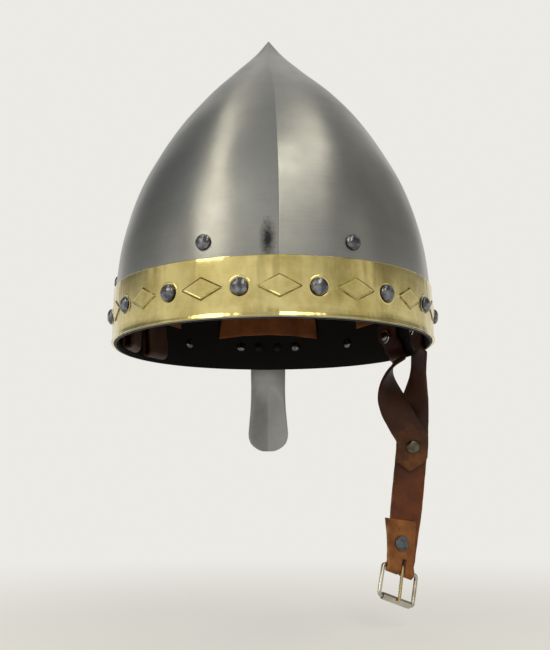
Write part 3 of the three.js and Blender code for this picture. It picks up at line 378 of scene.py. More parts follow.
def ring_point(radius, turn, height=0):
    return Vector((radius * math.cos(turn), radius * math.sin(turn), height))


def lathe(profile, steps, matrix=None):
    """Rings of a turned form about Z, from (radius, height) pairs. Radius 0 closes it."""
    matrix = matrix or Matrix()
    return [[matrix @ ring_point(radius, math.tau * i / steps, height) for i in range(steps)]
            for radius, height in profile]


def turned_object(name, profile, steps, materials=(), matrix=None, joined=False, sharp_degrees=None):
    """An object turned from a profile, which is closed on itself if joined."""
    points, faces = loft(lathe(profile, steps, matrix), joined, capped=False)
    return mesh_object(name, points, faces, materials, sharp_degrees=sharp_degrees)


def basis(x, y, z, place):
    matrix = Matrix((x, y, z)).transposed().to_4x4()
    matrix.translation = place
    return matrix


def heading(points, i, closed=False):
    """Direction of a path at one of its points."""
    count = len(points)
    after = points[(i + 1) % count if closed else min(i + 1, count - 1)]
    before = points[(i - 1) % count if closed else max(i - 1, 0)]
    return (after - before).normalized()


def sweep(points, radius, sides, closed=False, reference=Vector((0, 0, 1)), radii=None):
    """Rings of a round section along points. Radii, if given, are shares of the radius."""
    rings = []
    for i, point in enumerate(points):
        along = heading(points, i, closed)
        side = reference.cross(along).normalized()
        matrix = basis(side, along.cross(side), along, point)
        here = radius * (radii[i] if radii else 1)
        rings.append([matrix @ ring_point(here, math.tau * j / sides) for j in range(sides)])
    return rings


def finish_piece(piece, body, slot, *nodes):
    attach(piece, body)
    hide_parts(*nodes)


def remove(piece):
    data = piece.data
    bpy.data.objects.remove(piece)
    bpy.data.meshes.remove(data)


def evaluated_copy(source, name):
    """The source with its modifiers applied, as a plain mesh object. The source is removed."""
    depsgraph = bpy.context.evaluated_depsgraph_get()
    mesh = bpy.data.meshes.new_from_object(source.evaluated_get(depsgraph))
    remove(source)
    mesh.name = name
    return linked(name, mesh)


def cut_with(piece, cutters):
    """Cuts closed shapes out of a piece and removes them."""
    for cutter in cutters:
        modifier = piece.modifiers.new("Cut", "BOOLEAN")
        modifier.operation = "DIFFERENCE"
        modifier.solver = "EXACT"
        modifier.object = cutter
    made = evaluated_copy(piece, piece.name)
    for cutter in cutters:
        remove(cutter)
    return made


# Materials
def add(tree, kind, inputs=None, **settings):
    """Adds a node. Inputs are values or sockets, by the input's name or number."""
    node = tree.nodes.new(kind)
    for key, value in settings.items():
        setattr(node, key, value)
    for key, value in (inputs or {}).items():
        if isinstance(value, bpy.types.NodeSocket):
            tree.links.new(value, node.inputs[key])
        else:
            node.inputs[key].default_value = value
    return node


def mapped(tree, value, low, high, to_low=0, to_high=1, **settings):
    """The value taken from the range low to high to another range, and kept within it."""
    ranges = {0: value, 1: low, 2: high, 3: to_low, 4: to_high}
    return add(tree, "ShaderNodeMapRange", ranges, **settings).outputs[0]


def computed(tree, operation, *values):
    return add(tree, "ShaderNodeMath", dict(enumerate(values)), operation=operation).outputs[0]


def noise_on(tree, place, scale, detail=2, roughness=0.5):
    return add(tree, "ShaderNodeTexNoise", {
        "Vector": place, "Scale": scale, "Detail": detail, "Roughness": roughness}).outputs[0]


def blended(tree, share, *colours):
    """Mix of two colours, each a socket or a property's red, green and blue."""
    first, second = [c if isinstance(c, bpy.types.NodeSocket) else rgba(c) for c in colours]
    return add(tree, "ShaderNodeMix", {"Factor": share, "A": first, "B": second}, data_type="RGBA").outputs[2]


def stretched(tree, place, scale, shift=(0, 0, 0)):
    return add(tree, "ShaderNodeMapping", {"Vector": place, "Location": shift, "Scale": scale}).outputs[0]


def length_of(tree, vector):
    return add(tree, "ShaderNodeVectorMath", {0: vector}, operation="LENGTH").outputs["Value"]


def split(tree, vector, axis):
    return add(tree, "ShaderNodeSeparateXYZ", {0: vector}).outputs[axis]


def bumped(tree, height, strength, distance, **over):
    """Bump with its distance in metres. A bump given as Normal lies under it."""
    return add(tree, "ShaderNodeBump", {
        "Height": height, "Strength": strength, "Distance": distance, **over}).outputs[0]


def new_material(name):
    """A material, its node tree and its coordinates in millimetres. Once it is made, no tree is given."""
    material = bpy.data.materials.get(name)
    if material:
        return material, None, None
    material = bpy.data.materials.new(name)
    material.use_nodes = True
    tree = material.node_tree
    tree.nodes.clear()
    place = add(tree, "ShaderNodeTexCoord").outputs["Object"]
    millimetres = add(tree, "ShaderNodeVectorMath", {0: place, "Scale": 1 / MM}, operation="SCALE")
    return material, tree, millimetres.outputs[0]


def surface(tree, colour, roughness, bump, **fixed):
    """Principled surface and output. Fixed inputs are given by name with underscores."""
    inputs = {"Base Color": colour, "Roughness": roughness, "Normal": bump}
    inputs.update({key.replace("_", " "): value for key, value in fixed.items()})
    shader = add(tree, "ShaderNodeBsdfPrincipled", inputs)
    add(tree, "ShaderNodeOutputMaterial", {"Surface": shader.outputs[0]})


def rgba(colour):
    return (*colour, 1)


def steel_satin(colours):
    """Mild steel, planished, then brushed round by hand: satin, with fine level lines and soft clouds."""
    material, tree, place = new_material("satin_steel")
    if not tree:
        return material
    clouds = noise_on(tree, place, 0.022, 5, 0.6)
    lines = noise_on(tree, stretched(tree, place, (0.02, 0.02, 1.4)), 1, 6, 0.7)
    flecks = noise_on(tree, place, 0.5, 3, 0.6)
    tint = blended(tree, mapped(tree, clouds, 0.38, 0.66), colours.steel, colours.steel_shade)
    lined = blended(tree, mapped(tree, lines, 0.3, 0.75, 0, 0.35), tint, colours.steel_warm)
    # A dark reflection painted into the steel's colour beside the ridge, just over the band, on the back only
    from_dark_reflection = length_of(tree, stretched(tree, place, (0.19, 0, 0.066), (1.2, 0, -2.9)))
    ragged = computed(tree, "MULTIPLY_ADD", noise_on(tree, place, 0.5, 5, 0.75), 1.1, from_dark_reflection)
    behind = computed(tree, "LESS_THAN", split(tree, place, "Y"), 0)
    smudge = computed(tree, "MULTIPLY", mapped(tree, ragged, 1.5, 0.72, 0, 0.92), behind)
    rough = computed(tree, "MULTIPLY_ADD", lines, 0.07, mapped(tree, clouds, 0.3, 0.7, 0.25, 0.34))
    bump = bumped(tree, flecks, 0.1, 0.0004, Normal=bumped(tree, lines, 0.16, 0.0002))
    round_about = add(tree, "ShaderNodeTangent", direction_type="RADIAL", axis="Z").outputs[0]
    surface(tree, blended(tree, smudge, lined, colours.smudge), rough, bump, Metallic=1, Anisotropic=0.6,
            Anisotropic_Rotation=0.25, Tangent=round_about)
    return material


def black_enamel(colours):
    """Black enamel inside the skull: dull, with a little gloss where hands have rubbed it."""
    material, tree, place = new_material("black_enamel")
    if not tree:
        return material
    orange_peel = noise_on(tree, place, 0.4)
    surface(tree, rgba(colours.enamel), mapped(tree, orange_peel, 0.3, 0.7, 0.5, 0.68),
            bumped(tree, orange_peel, 0.2, 0.0003), Specular_IOR_Level=0.22)
    return material


def polished_brass(colours):
    """Rolled brass strip, machine polished along its length: bright, a little wavy, with cloudy tarnish."""
    material, tree, place = new_material("polished_brass")
    if not tree:
        return material
    clouds = noise_on(tree, place, 0.05, 4, 0.6)
    lines = noise_on(tree, stretched(tree, place, (0.03, 0.03, 1.6)), 1, 4)
    waves = noise_on(tree, stretched(tree, place, (0.09, 0.09, 0.02)), 1)
    colour = blended(tree, mapped(tree, clouds, 0.42, 0.72), colours.brass, colours.brass_tarnish)
    rough = computed(tree, "MULTIPLY_ADD", lines, 0.05, mapped(tree, clouds, 0.3, 0.7, 0.09, 0.17))
    bump = bumped(tree, waves, 1, 0.0008, Normal=bumped(tree, lines, 0.06, 0.0002))
    surface(tree, colour, rough, bump, Metallic=1)
    return material


def worn_metal(name, colour, worn, roughness, relief=0.12, patch=0.45):
    """Small metal parts: a base tone that wears to another in patches."""
    material, tree, place = new_material(name)
    if not tree:
        return material
    patches = noise_on(tree, place, patch, 3)
    rough = mapped(tree, patches, 0.3, 0.7, roughness - 0.06, roughness + 0.1)
    surface(tree, blended(tree, mapped(tree, patches, 0.42, 0.68), colour, worn), rough,
            bumped(tree, patches, relief, 0.0002), Metallic=1)
    return material


def nickel_plate(colours):
    """Nickel plate on steel wire and caps: smooth, warm grey, a little dull where it is handled."""
    return worn_metal("nickel_plate", colours.nickel, colours.nickel_worn, 0.2, relief=0.02, patch=0.1)


def leather(name, colour, shade, roughness, relief, painted_shade=None):
    """Cowhide: pores and creases about a millimetre apart, and dye that took unevenly. Painted shade, if
    given, is a dark tone painted towards the top of a strap, where the helmet shades it."""
    material, tree, place = new_material(name)
    if not tree:
        return material
    dye = noise_on(tree, place, 0.06, 5, 0.65)
    fibre = noise_on(tree, place, 0.8, 5, 0.7)
    pores = add(tree, "ShaderNodeTexVoronoi", {"Vector": place, "Scale": 0.9}, feature="DISTANCE_TO_EDGE")
    tone = blended(tree, mapped(tree, dye, 0.35, 0.68), colour, shade)
    if painted_shade:
        # Painted shade: darker towards the top of the strap, where the helmet shades it, with a ragged edge
        # from the dye
        height = computed(tree, "MULTIPLY_ADD", dye, 50, split(tree, place, "Z"))
        tone = blended(tree, mapped(tree, height, -98, -26, 0, 0.9), tone, painted_shade)
    grain = computed(tree, "MULTIPLY_ADD", fibre, 0.6, mapped(tree, pores.outputs[0], 0, 0.12))
    rough = mapped(tree, fibre, 0.3, 0.7, roughness - 0.08, roughness + 0.1)
    surface(tree, tone, rough, bumped(tree, grain, relief, 0.0003), Specular_IOR_Level=0.28)
    return material


def strap_leathers(colours):
    """Grain side, flesh side and cut edge of the strap."""
    sides = (
        ("grain", colours.strap, colours.strap_shade, 0.5, 0.25),
        ("flesh", colours.strap_tan, colours.strap_tan_shade, 0.6, 0.35),
        ("edge", colours.strap_edge, colours.strap_tan_shade, 0.75, 0.5),
    )
    # Each side of the strap takes painted shade towards the top
    return [leather("strap_hide_" + side, *finish, colours.strap_oiled) for side, *finish in sides]


def liner_leathers(colours):
    return [leather("liner_hide", colours.liner, colours.liner_shade, 0.68, 0.35),
            leather("liner_hide_edge", colours.liner_edge, colours.liner, 0.8, 0.5)]


COLOURS = {
    "steel": ("Skull and nose guard", "#9a9b9a"),
    "steel_shade": ("Clouds in the steel", "#878a8c"),
    "steel_warm": ("Tone of the brushed lines", "#a8a290"),
    # Colour of the dark reflection painted on the steel beside the ridge
    "smudge": ("Oil mark beside the ridge", "#1c1c20"),
    "enamel": ("Paint inside the skull", "#0b0908"),
    "brass": ("Brow band", "#dfd090"),
    "brass_tarnish": ("Clouds in the brass", "#b7a664"),
    # Darker brass on the lozenges' sloped feet: polish residue, and painted shade that outlines them
    "brass_dark": ("Polish left at the foot of the lozenges", "#6e5c2c"),
    "rivet": ("Darkened rivet steel", "#55555a"),
    "rivet_worn": ("Where rivets are rubbed", "#919298"),
    "nickel": ("Buckle, washers and caps", "#c2bdb2"),
    "nickel_worn": ("Where the plating is thin", "#a59d8f"),
    "cap": ("Steel cap where the straps join", "#645e50"),
    "cap_worn": ("Dark swirls in that cap", "#403b31"),
    "zinc": ("Cap of the rivet over the buckle", "#636869"),
    "zinc_worn": ("Dull spots on that cap", "#454a4c"),
    "prong": ("Brass buckle prong", "#b5a25a"),
    "strap": ("Grain side of the strap", "#783e17"),
    "strap_shade": ("Dark dye in the strap", "#5a2a0f"),
    "strap_tan": ("Flesh side of the strap", "#9c622e"),
    "strap_tan_shade": ("Dark parts of the flesh side", "#5c3214"),
    # Colour of the shade painted on the strap near the head
    "strap_oiled": ("Dark tone of the strap near the head", "#260e06"),
    "strap_edge": ("Cut edge of the strap", "#b17c4b"),
    "liner": ("Liner leather", "#80491f"),
    "liner_shade": ("Dark parts of the liner", "#5c3014"),
    "liner_edge": ("Cut edge of the liner", "#b07a4c"),
    "floor": ("Floor", "#e6e4df"),
    "ceiling": ("Ceiling of the studio", "#b2b3b2"),
}


class HelmetColours(bpy.types.PropertyGroup):
    """The colours of the helmet and of its stage"""

    __annotations__ = {
        name: FloatVectorProperty(
            name=name.replace("_", " ").title(), description=use, subtype="COLOR", size=3, min=0, max=1,
            default=linear(hex_colour))
        for name, (use, hex_colour) in COLOURS.items()
    }


def length_property(name, description, millimetres):
    return FloatProperty(name=name, description=description, default=millimetres * MM, min=0, unit="LENGTH",
                         precision=5)


class HelmetSizes(bpy.types.PropertyGroup):
    """How fine and how uneven the helmet is made"""

    around: IntProperty(name="Around", description="Facets round the skull", default=240, min=48)
    unevenness: length_property("Unevenness", "Depth of the hammer work left in the steel", 0.12)
    crest_wander: length_property("Crest Wander", "How far the ridge leaves the middle", 1.4)
    hammer_depth: length_property("Hammer Depth", "Depth of the facets on the rivet heads", 0.6)
    hammer_seed: IntProperty(name="Hammer Seed", description="Turns each rivet head differently", default=7)


# Skull
def dense_angles(count):
    """Even angles, with close ones beside the ridge so that its crest stays crisp."""
    angles = {math.tau * i / count for i in range(count)}
    for crest in (0, math.pi):
        for near in (0.003, 0.008, 0.016):
            angles |= {(crest + near) % math.tau, (crest - near) % math.tau}
    return sorted(angles)


def crest_shift(height):
    """Sideways wander of the ridge: a slow wave and one kink below the point."""
    return 0.25 * math.sin(height / 31) - math.exp(-(((height - CREST_KINK_HEIGHT) / CREST_KINK_REACH) ** 2))


def lean_at(height):
    """The top of the skull leans to one side."""
    return TOP_LEAN * ease(height, *TOP_LEAN_HEIGHTS)


def hand_worked(angle, height, offset, sizes):
    """Point of the skull with the unevenness that raising by hammer leaves."""
    normal = skull_normal(angle, height)
    point = skull_point(angle, height) + normal * offset
    clear = ease(height, BAND_HEIGHT, BAND_HEIGHT + 25) * ease(SKULL_HEIGHT - height, 4, 30)
    wave = noise.noise(point / 38) + 0.5 * noise.noise(point / 17)
    point += normal * (wave * clear * sizes.unevenness / MM)
    if math.cos(angle) > 0:
        near = max(0, 1 - abs(point.x) / RIDGE_REACH) ** 2
        point.x += crest_shift(height) * sizes.crest_wander / MM * near * clear
    point.x += lean_at(height)
    return point


def make_skull(sizes, materials):
    angles = dense_angles(sizes.around)
    heights = [0, 0.5, 1.5, 4]
    while heights[-1] < SKULL_HEIGHT - 2:
        heights.append(heights[-1] + mix(2.6, 1, heights[-1] / SKULL_HEIGHT))
    edge = SHEET / 3
    rings = [[hand_worked(a, 0, -edge - SHEET / 6, sizes) for a in angles]]
    rings += [[hand_worked(a, h, -0.3 * (i == 0), sizes) for a in angles] for i, h in enumerate(heights)]
    rings.append([Vector((TOP_LEAN, 0, SKULL_HEIGHT)) for _ in angles])
    outer = len(rings)
    rings.append([Vector((TOP_LEAN, 0, SKULL_HEIGHT - 1.6 * SHEET)) for _ in angles])
    coarse = [height for i, height in enumerate(heights) if i % 3 == 0][::-1]
    rings += [[hand_worked(a, h, -SHEET, sizes) for a in angles] for h in coarse]
    for ring in (rings[0], rings[1], rings[-1]):
        for point in ring:
            point.z = 0
    points, faces = loft(rings, joined=True)
    count = len(angles)
    inside = [1 if i < 2 * count or i >= count * (outer - 1) else 0 for i in range(len(faces))]
    skull = mesh_object("skull_shell", points, faces, materials, inside, sharp_degrees=40)
    finish_piece(skull, "helmet", "skull_steel", "skull")


# Brow band
def lozenge_columns():
    """Distances along one pattern pitch: the lozenge's corners, and even steps between them."""
    half = LOZENGE_WIDTH / 2
    foot = half + LOZENGE_CHAMFER * LOZENGE_WIDTH / LOZENGE_HEIGHT
    side = [half * share for share in (0.06, 0.2, 0.4, 0.6, 0.8, 0.95, 1)] + [(half + foot) / 2, foot]
    side += [mix(foot, PITCH / 2, i / 6) for i in range(1, 7)]
    return [-x for x in reversed(side)] + [0] + side[:-1]


def band_profile(side, has_lozenge):
    """Heights and offsets of the band's outer face at a distance from a lozenge's middle."""
    half_width, half_height = LOZENGE_WIDTH / 2, LOZENGE_HEIGHT / 2
    foot = half_width + LOZENGE_CHAMFER * LOZENGE_WIDTH / LOZENGE_HEIGHT
    within = has_lozenge and abs(side) <= half_width
    crest = BAND_OUTER + (LOZENGE_RELIEF if within else 0)
    rim = crest + (LOZENGE_RIM_RISE if within else 0)
    inner = max(half_height * (1 - abs(side) / half_width), 0.12)
    outer = max((half_height + LOZENGE_CHAMFER) * (1 - abs(side) / foot), 0.24)
    rims = [(inner, rim), (inner * max(0.4, 1 - LOZENGE_RIM_WIDTH / inner), rim),
            (inner * max(0.2, 1 - 1.8 * LOZENGE_RIM_WIDTH / inner), crest)]
    rows = [
        (BAND_SET_UP, GAP),
        (BAND_SET_UP, BAND_OUTER + LIP_FLARE - SOFT_EDGE),
        (BAND_SET_UP + SOFT_EDGE, BAND_OUTER + LIP_FLARE),
    ]
    for i in range(1, 6):
        share = i / 5
        flare = LIP_FLARE * (1 - ease(share, 0, 1))
        rows.append((BAND_SET_UP + SOFT_EDGE + LIP_HEIGHT * share, BAND_OUTER + flare))
    middle = BAND_RIVET_HEIGHT
    low, high = rows[-1][0], BAND_HEIGHT - 0.9
    rows += [(mix(low, middle - outer, i / 4), BAND_OUTER) for i in range(1, 4)]
    rows += [(middle - outer, BAND_OUTER)] + [(middle - fall, offset) for fall, offset in rims]
    rows += [(middle, crest)] + [(middle + fall, offset) for fall, offset in rims[::-1]]
    rows += [(middle + outer, BAND_OUTER)]
    rows += [(mix(middle + outer, high, i / 4), BAND_OUTER) for i in range(1, 5)]
    rows += [
        (BAND_HEIGHT - 0.45, BAND_OUTER - 0.05),
        (BAND_HEIGHT - 0.12, BAND_OUTER - 0.3),
        (BAND_HEIGHT, BAND_OUTER - 0.65),
        (BAND_HEIGHT, GAP),
        (mix(BAND_HEIGHT, BAND_SET_UP, 0.5), GAP),
    ]
    return rows


# Rows of the profile that lie on a lozenge's sloped foot, where polish and tarnish stay; their darker brass
# is also painted shade that outlines each lozenge
CHAMFER_ROWS = (11, 18)


def make_band(materials):
    rings = []
    marks = []
    for pitch in range(PATTERN_COUNT):
        has_lozenge = pitch != PATTERN_COUNT // 2
        for side in lozenge_columns():
            angle = angle_at(pitch + side / PITCH)
            profile = band_profile(side, has_lozenge)
            rings.append([offset_point(angle, height, offset) for height, offset in profile])
            for point, (height, _) in zip(rings[-1], profile):
                point.z = height
            raised = has_lozenge and abs(side) <= LOZENGE_WIDTH / 2
            # Sloped feet of the lozenges take the darker brass: polish residue, and painted shade that
            # outlines them
            marks += [int(raised and i in CHAMFER_ROWS) for i in range(len(profile))]
    band = mesh_object("brow_band_brass", *loft(rings, joined=True), materials, marks, sharp_degrees=13)
    finish_piece(band, "helmet", "brass", "brow_band")


# Rivets and washers, put on their places by Geometry Nodes
def scatter_tree():
    """Instances of one form on points, each turned out along the wall and at random about itself."""
    tree = bpy.data.node_groups.get("set_on_wall")
    if tree:
        return tree
    tree = bpy.data.node_groups.new("set_on_wall", "GeometryNodeTree")
    sockets = (("Geometry", "Geometry"), ("Form", "Object"), ("Turn Seed", "Int"), ("Hammer Depth", "Float"),
               ("Hammer Spacing", "Float"), ("Material", "Material"))
    for name, kind in sockets:
        tree.interface.new_socket(name=name, in_out="INPUT", socket_type="NodeSocket" + kind)
    tree.interface.new_socket(name="Geometry", in_out="OUTPUT", socket_type="NodeSocketGeometry")
    given = add(tree, "NodeGroupInput").outputs
    out = add(tree, "GeometryNodeInputNamedAttribute", {"Name": "outward"}, data_type="FLOAT_VECTOR")
    aligned = add(tree, "FunctionNodeAlignRotationToVector", {"Vector": out.outputs[0]}, axis="Z")
    spin = add(tree, "FunctionNodeRandomValue", {
        0: (0, 0, 0), 1: (0, 0, math.tau), "Seed": given["Turn Seed"]}, data_type="FLOAT_VECTOR")
    turn = add(tree, "FunctionNodeEulerToRotation", {0: spin.outputs[0]})
    rotation = add(tree, "FunctionNodeRotateRotation", {0: aligned.outputs[0], 1: turn.outputs[0]},
                   rotation_space="LOCAL")
    form = add(tree, "GeometryNodeObjectInfo", {"Object": given["Form"]})
    copies = add(tree, "GeometryNodeInstanceOnPoints", {
        "Points": given["Geometry"], "Instance": form.outputs["Geometry"], "Rotation": rotation.outputs[0]})
    real = add(tree, "GeometryNodeRealizeInstances", {0: copies.outputs[0]})
    scale = computed(tree, "DIVIDE", 1, given["Hammer Spacing"])
    facets = add(tree, "ShaderNodeTexNoise", {"Scale": scale, "Detail": 1}).outputs[0]
    depth = computed(tree, "MULTIPLY", computed(tree, "SUBTRACT", facets, 0.5), given["Hammer Depth"])
    normal = add(tree, "GeometryNodeInputNormal").outputs[0]
    push = add(tree, "ShaderNodeVectorMath", {0: normal, "Scale": depth}, operation="SCALE")
    moved = add(tree, "GeometryNodeSetPosition", {"Geometry": real.outputs[0], "Offset": push.outputs[0]})
    painted = add(tree, "GeometryNodeSetMaterial", {0: moved.outputs[0], "Material": given["Material"]})
    add(tree, "NodeGroupOutput", {0: painted.outputs[0]})
    return tree


def set_on_wall(name, form, places, material, depth=0.0, seed=0):
    """One mesh of the form at each (point, outward direction), points in millimetres. The form is removed."""
    mesh = bpy.data.meshes.new(name + "_places")
    mesh.from_pydata([point * MM for point, _ in places], [], [])
    outward = mesh.attributes.new("outward", "FLOAT_VECTOR", "POINT")
    outward.data.foreach_set("vector", [c for _, out in places for c in out])
    holder = linked(name + "_places", mesh)
    tree = scatter_tree()
    modifier = holder.modifiers.new("Set", "NODES")
    modifier.node_group = tree
    values = {"Form": form, "Turn Seed": seed, "Hammer Depth": depth, "Hammer Spacing": HAMMER_SPACING * MM,
              "Material": material}
    for socket in tree.interface.items_tree:
        if socket.name in values:
            modifier[socket.identifier] = values[socket.name]
    made = evaluated_copy(holder, name)
    remove(form)
    if "outward" in made.data.attributes:
        made.data.attributes.remove(made.data.attributes["outward"])
    return made


def rivet_form(radius, dome, seat, grip, flat_cap=False):
    """Head from its seat up, shank, and peened tail that closes at -grip, about +Z."""
    profile = [(0, -grip - TAIL_HEIGHT)]
    profile += [(TAIL_RADIUS * math.sin(t), -grip - TAIL_HEIGHT * math.cos(t))
                for t in (0.35, 0.75, 1.15, 1.45)]
    profile += [(TAIL_RADIUS, -grip), (SHANK_RADIUS, -grip), (SHANK_RADIUS, seat), (radius - SOFT_EDGE, seat)]
    foot, top = seat + SOFT_EDGE, seat + dome
    profile += [(radius, foot)]
    if flat_cap:
        rolled = ((0, 0.5), (0.2, 0.12), (0.6, 0), (1, 0.1), (1.5, 0.32))
        profile += [(radius - inset, top - fall) for inset, fall in rolled]
        profile += [(radius * 0.4, top - 0.22), (0, top - 0.18)]
    else:
        profile += [(radius * math.cos(t), foot + (dome - SOFT_EDGE) * math.sin(t))
                    for t in (0.2, 0.42, 0.64, 0.86, 1.08, 1.28, 1.44)]
        profile += [(0, top)]
    return turned_object("rivet_form", profile, RIVET_FACETS, sharp_degrees=50)


def washer_form(depth):
    """A washer under a tail, its outer face at a depth from the wall's outside."""
    inner, outer = SHANK_RADIUS + GAP, WASHER_RADIUS
    top, bottom = -depth, -depth - WASHER_THICKNESS
    profile = [(inner, bottom), (outer - WASHER_CHAMFER, bottom), (outer, bottom + WASHER_CHAMFER),
               (outer, top), (inner, top)]
    return turned_object("washer_form", profile, RIVET_FACETS, joined=True, sharp_degrees=40)


STRAP_PITCHES = [*ARM_PITCHES, *[PATTERN_COUNT - pitch for pitch in ARM_PITCHES]]


def band_rivet_places(pitches):
    return [wall_frame(angle_at(pitch), BAND_RIVET_HEIGHT)[:2] for pitch in pitches]


def liner_rivet_places():
    sides = (SIDE_TONGUE_PITCH - 1, SIDE_TONGUE_PITCH + 1)
    angles = [angle_at(pitch) for pitch in (1, -1, *sides)]
    angles += [front_angle(side * FRONT_LINER_RIVET_OFFSET, LINER_RIVET_HEIGHT) for side in (1, -1)]
    angles += [angle_at(-pitch) for pitch in sides]
    return [wall_frame(angle, LINER_RIVET_HEIGHT)[:2] for angle in angles]


def paint_tails(piece, places, grip, enamel):
    """Tails that end on bare steel were painted black with the inside of the skull."""
    piece.data.materials.append(enamel)
    for face in piece.data.polygons:
        centre = face.center / MM
        point, out = min(places, key=lambda place: (place[0] - centre).length)
        if (centre - point).dot(out) < -grip - 0.05:
            face.material_index = 1


def make_rivets(sizes, colours):
    gunmetal = worn_metal("gunmetal_rivet", colours.rivet, colours.rivet_worn, 0.22, relief=0.08, patch=0.3)
    enamel = black_enamel(colours)
    depth, seed = sizes.hammer_depth, sizes.hammer_seed
    plain = [i + 0.5 for i in range(PATTERN_COUNT) if i + 0.5 not in STRAP_PITCHES]
    groups = (
        ("band_rivets", plain, SHEET + 1.4 * GAP),
        ("strap_rivets", STRAP_PITCHES, STRAP_INNER + 2 * GAP + WASHER_THICKNESS),
    )
    for name, pitches, grip in groups:
        form = rivet_form(BAND_RIVET_RADIUS, BAND_RIVET_DOME, BAND_OUTER + GAP, grip)
        places = band_rivet_places(pitches)
        heads = set_on_wall(name, form, places, gunmetal, depth, seed)
        if pitches is plain:
            paint_tails(heads, places, grip, enamel)
        nodes = [f"band_rivet_{pitch + 0.5:02.0f}" for pitch in pitches]
        finish_piece(heads, "helmet", "rivet_steel", *nodes)
    form = rivet_form(LINER_RIVET_RADIUS, LINER_RIVET_DOME, GAP, LINER_INNER + 2 * GAP + WASHER_THICKNESS)
    heads = set_on_wall("liner_rivets", form, liner_rivet_places(), gunmetal, depth, seed + 1)
    finish_piece(heads, "helmet", "rivet_steel", *[f"liner_rivet_{i}" for i in range(1, 9)])
    spots = ((NASAL_RIVET_OFFSET, BAND_RIVET_HEIGHT), (-NASAL_RIVET_OFFSET, BAND_RIVET_HEIGHT),
             (0, BAND_HEIGHT + NASAL_TOP_RIVET_RISE))
    for i, (side, height) in enumerate(spots):
        grip = SHEET + GAP + (0 if side else crease_fall(height))
        seat = nasal_offset(height) + NASAL_THICKNESS + GAP
        form = rivet_form(NASAL_RIVET_RADIUS, NASAL_RIVET_DOME, seat, grip)
        places = [wall_frame(front_angle(side, height), height)[:2]]
        head = set_on_wall(f"nasal_rivet_head_{i + 1}", form, places, gunmetal, depth, seed + 2 + i)
        paint_tails(head, places, grip, enamel)
        finish_piece(head, "helmet", "rivet_steel", f"nasal_rivet_{i + 1}")


def make_washers(colours):
    nickel = nickel_plate(colours)
    groups = (
        ("strap_washers", STRAP_INNER, band_rivet_places(STRAP_PITCHES),
         [f"strap_washer_{i:02d}" for i in (5, 6, 11, 12)]),
        ("liner_washers", LINER_INNER, liner_rivet_places(), [f"liner_washer_{i}" for i in range(1, 9)]),
    )
    for name, depth, places, nodes in groups:
        washers = set_on_wall(name, washer_form(depth + GAP), places, nickel)
        finish_piece(washers, "helmet", "nickel", *nodes)


def make_dimples(material):
    """The shallow ring that each rivet's seat presses up in the brass, seen as a bright line round it."""
    rise = ((-0.6, -0.3), (-0.6, 0.02), (0.35, 0.03), (0.6, 0.11), (0.85, 0.15), (1.1, 0.12), (1.45, 0.03),
            (1.75, -0.1), (1.75, -0.3))
    turns = [math.tau * k / 48 for k in range(48)]

    def pressed(rivet, turn, radius, lift):
        angle = angle_at(rivet + 0.5 + radius * math.cos(turn) / PITCH)
        return offset_point(angle, BAND_RIVET_HEIGHT + radius * math.sin(turn), BAND_OUTER + lift)

    points, faces = [], []
    for rivet in range(PATTERN_COUNT):
        rings = [[pressed(rivet, turn, BAND_RIVET_RADIUS + reach, lift) for turn in turns]
                 for reach, lift in rise]
        made, sides = loft(rings, joined=True)
        faces += [tuple(corner + len(points) for corner in side) for side in sides]
        points += made
    piece = mesh_object("rivet_dimples", points, faces, [material])
    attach(piece, "helmet")


# Nose guard
NASAL_WIDTH_SHARES = ((1, 0.3), (0.985, 0.5), (0.9, 0.72), (0.72, 0.95), (0.45, 1), (0.18, 1))
NASAL_DROP_SHARES = ((0, 1), (0.1, 0.99), (0.22, 0.98), (0.36, 0.99), (0.5, 1.02), (0.64, 1.08), (0.78, 1.14),
                     (0.84, 1.12), (0.9, 1.02), (0.94, 0.86), (0.97, 0.66), (0.99, 0.46), (1, 0.3))


def nasal_offset(height):
    on_band = BAND_OUTER + GAP
    over_band = 1 - ease(height, BAND_HEIGHT + GAP, BAND_HEIGHT + GAP + NASAL_JOGGLE)
    lip = BAND_SET_UP + LIP_HEIGHT
    return GAP + (on_band - GAP) * over_band + LIP_FLARE * (1 - ease(height, lip, 2 * lip))


def nasal_point(side, height, depth):
    at = max(height, 0)
    point = offset_point(front_angle(side, at), at, nasal_offset(at) + depth)
    point.z = height
    if height < 0:
        fall = -height / NASAL_DROP
        crown = NASAL_CROWN * ease(fall, 0, 0.4) * (1 - abs(side) / NASAL_HALF_WIDTH)
        point.y += NASAL_LEAN * fall + crown
    return point


def make_nasal(material):
    lip = BAND_SET_UP + LIP_HEIGHT
    stations = [(BAND_HEIGHT + NASAL_RISE * share, width) for share, width in NASAL_WIDTH_SHARES]
    stations += [(BAND_HEIGHT + GAP + NASAL_JOGGLE * share, 1) for share in (1, 0.75, 0.5, 0.25, 0)]
    stations += [(height, 1) for height in (26, BAND_RIVET_HEIGHT, 11, 2 * lip, 1.5 * lip, lip)]
    stations += [(-NASAL_DROP * share, width) for share, width in NASAL_DROP_SHARES]
    half = (0.03, 0.08, 0.25, 0.5, 0.75, 0.93, 0.985, 1)
    across = [*[-share for share in half[::-1]], 0, *half]
    soft = [0.35 * (abs(share) == 1) + 0.1 * (abs(share) == 0.985) for share in across]
    rings = []
    for height, width in stations:
        sides = [share * width * NASAL_HALF_WIDTH for share in across]
        back = [nasal_point(side, height, inset) for side, inset in zip(sides, soft)]
        front = [nasal_point(side, height, NASAL_THICKNESS - inset) for side, inset in zip(sides, soft)]
        rings.append(back + front[::-1])
    nasal = mesh_object("nose_guard", *loft(rings), [material], sharp_degrees=50)
    finish_piece(nasal, "helmet", "skull_steel", "nasal")


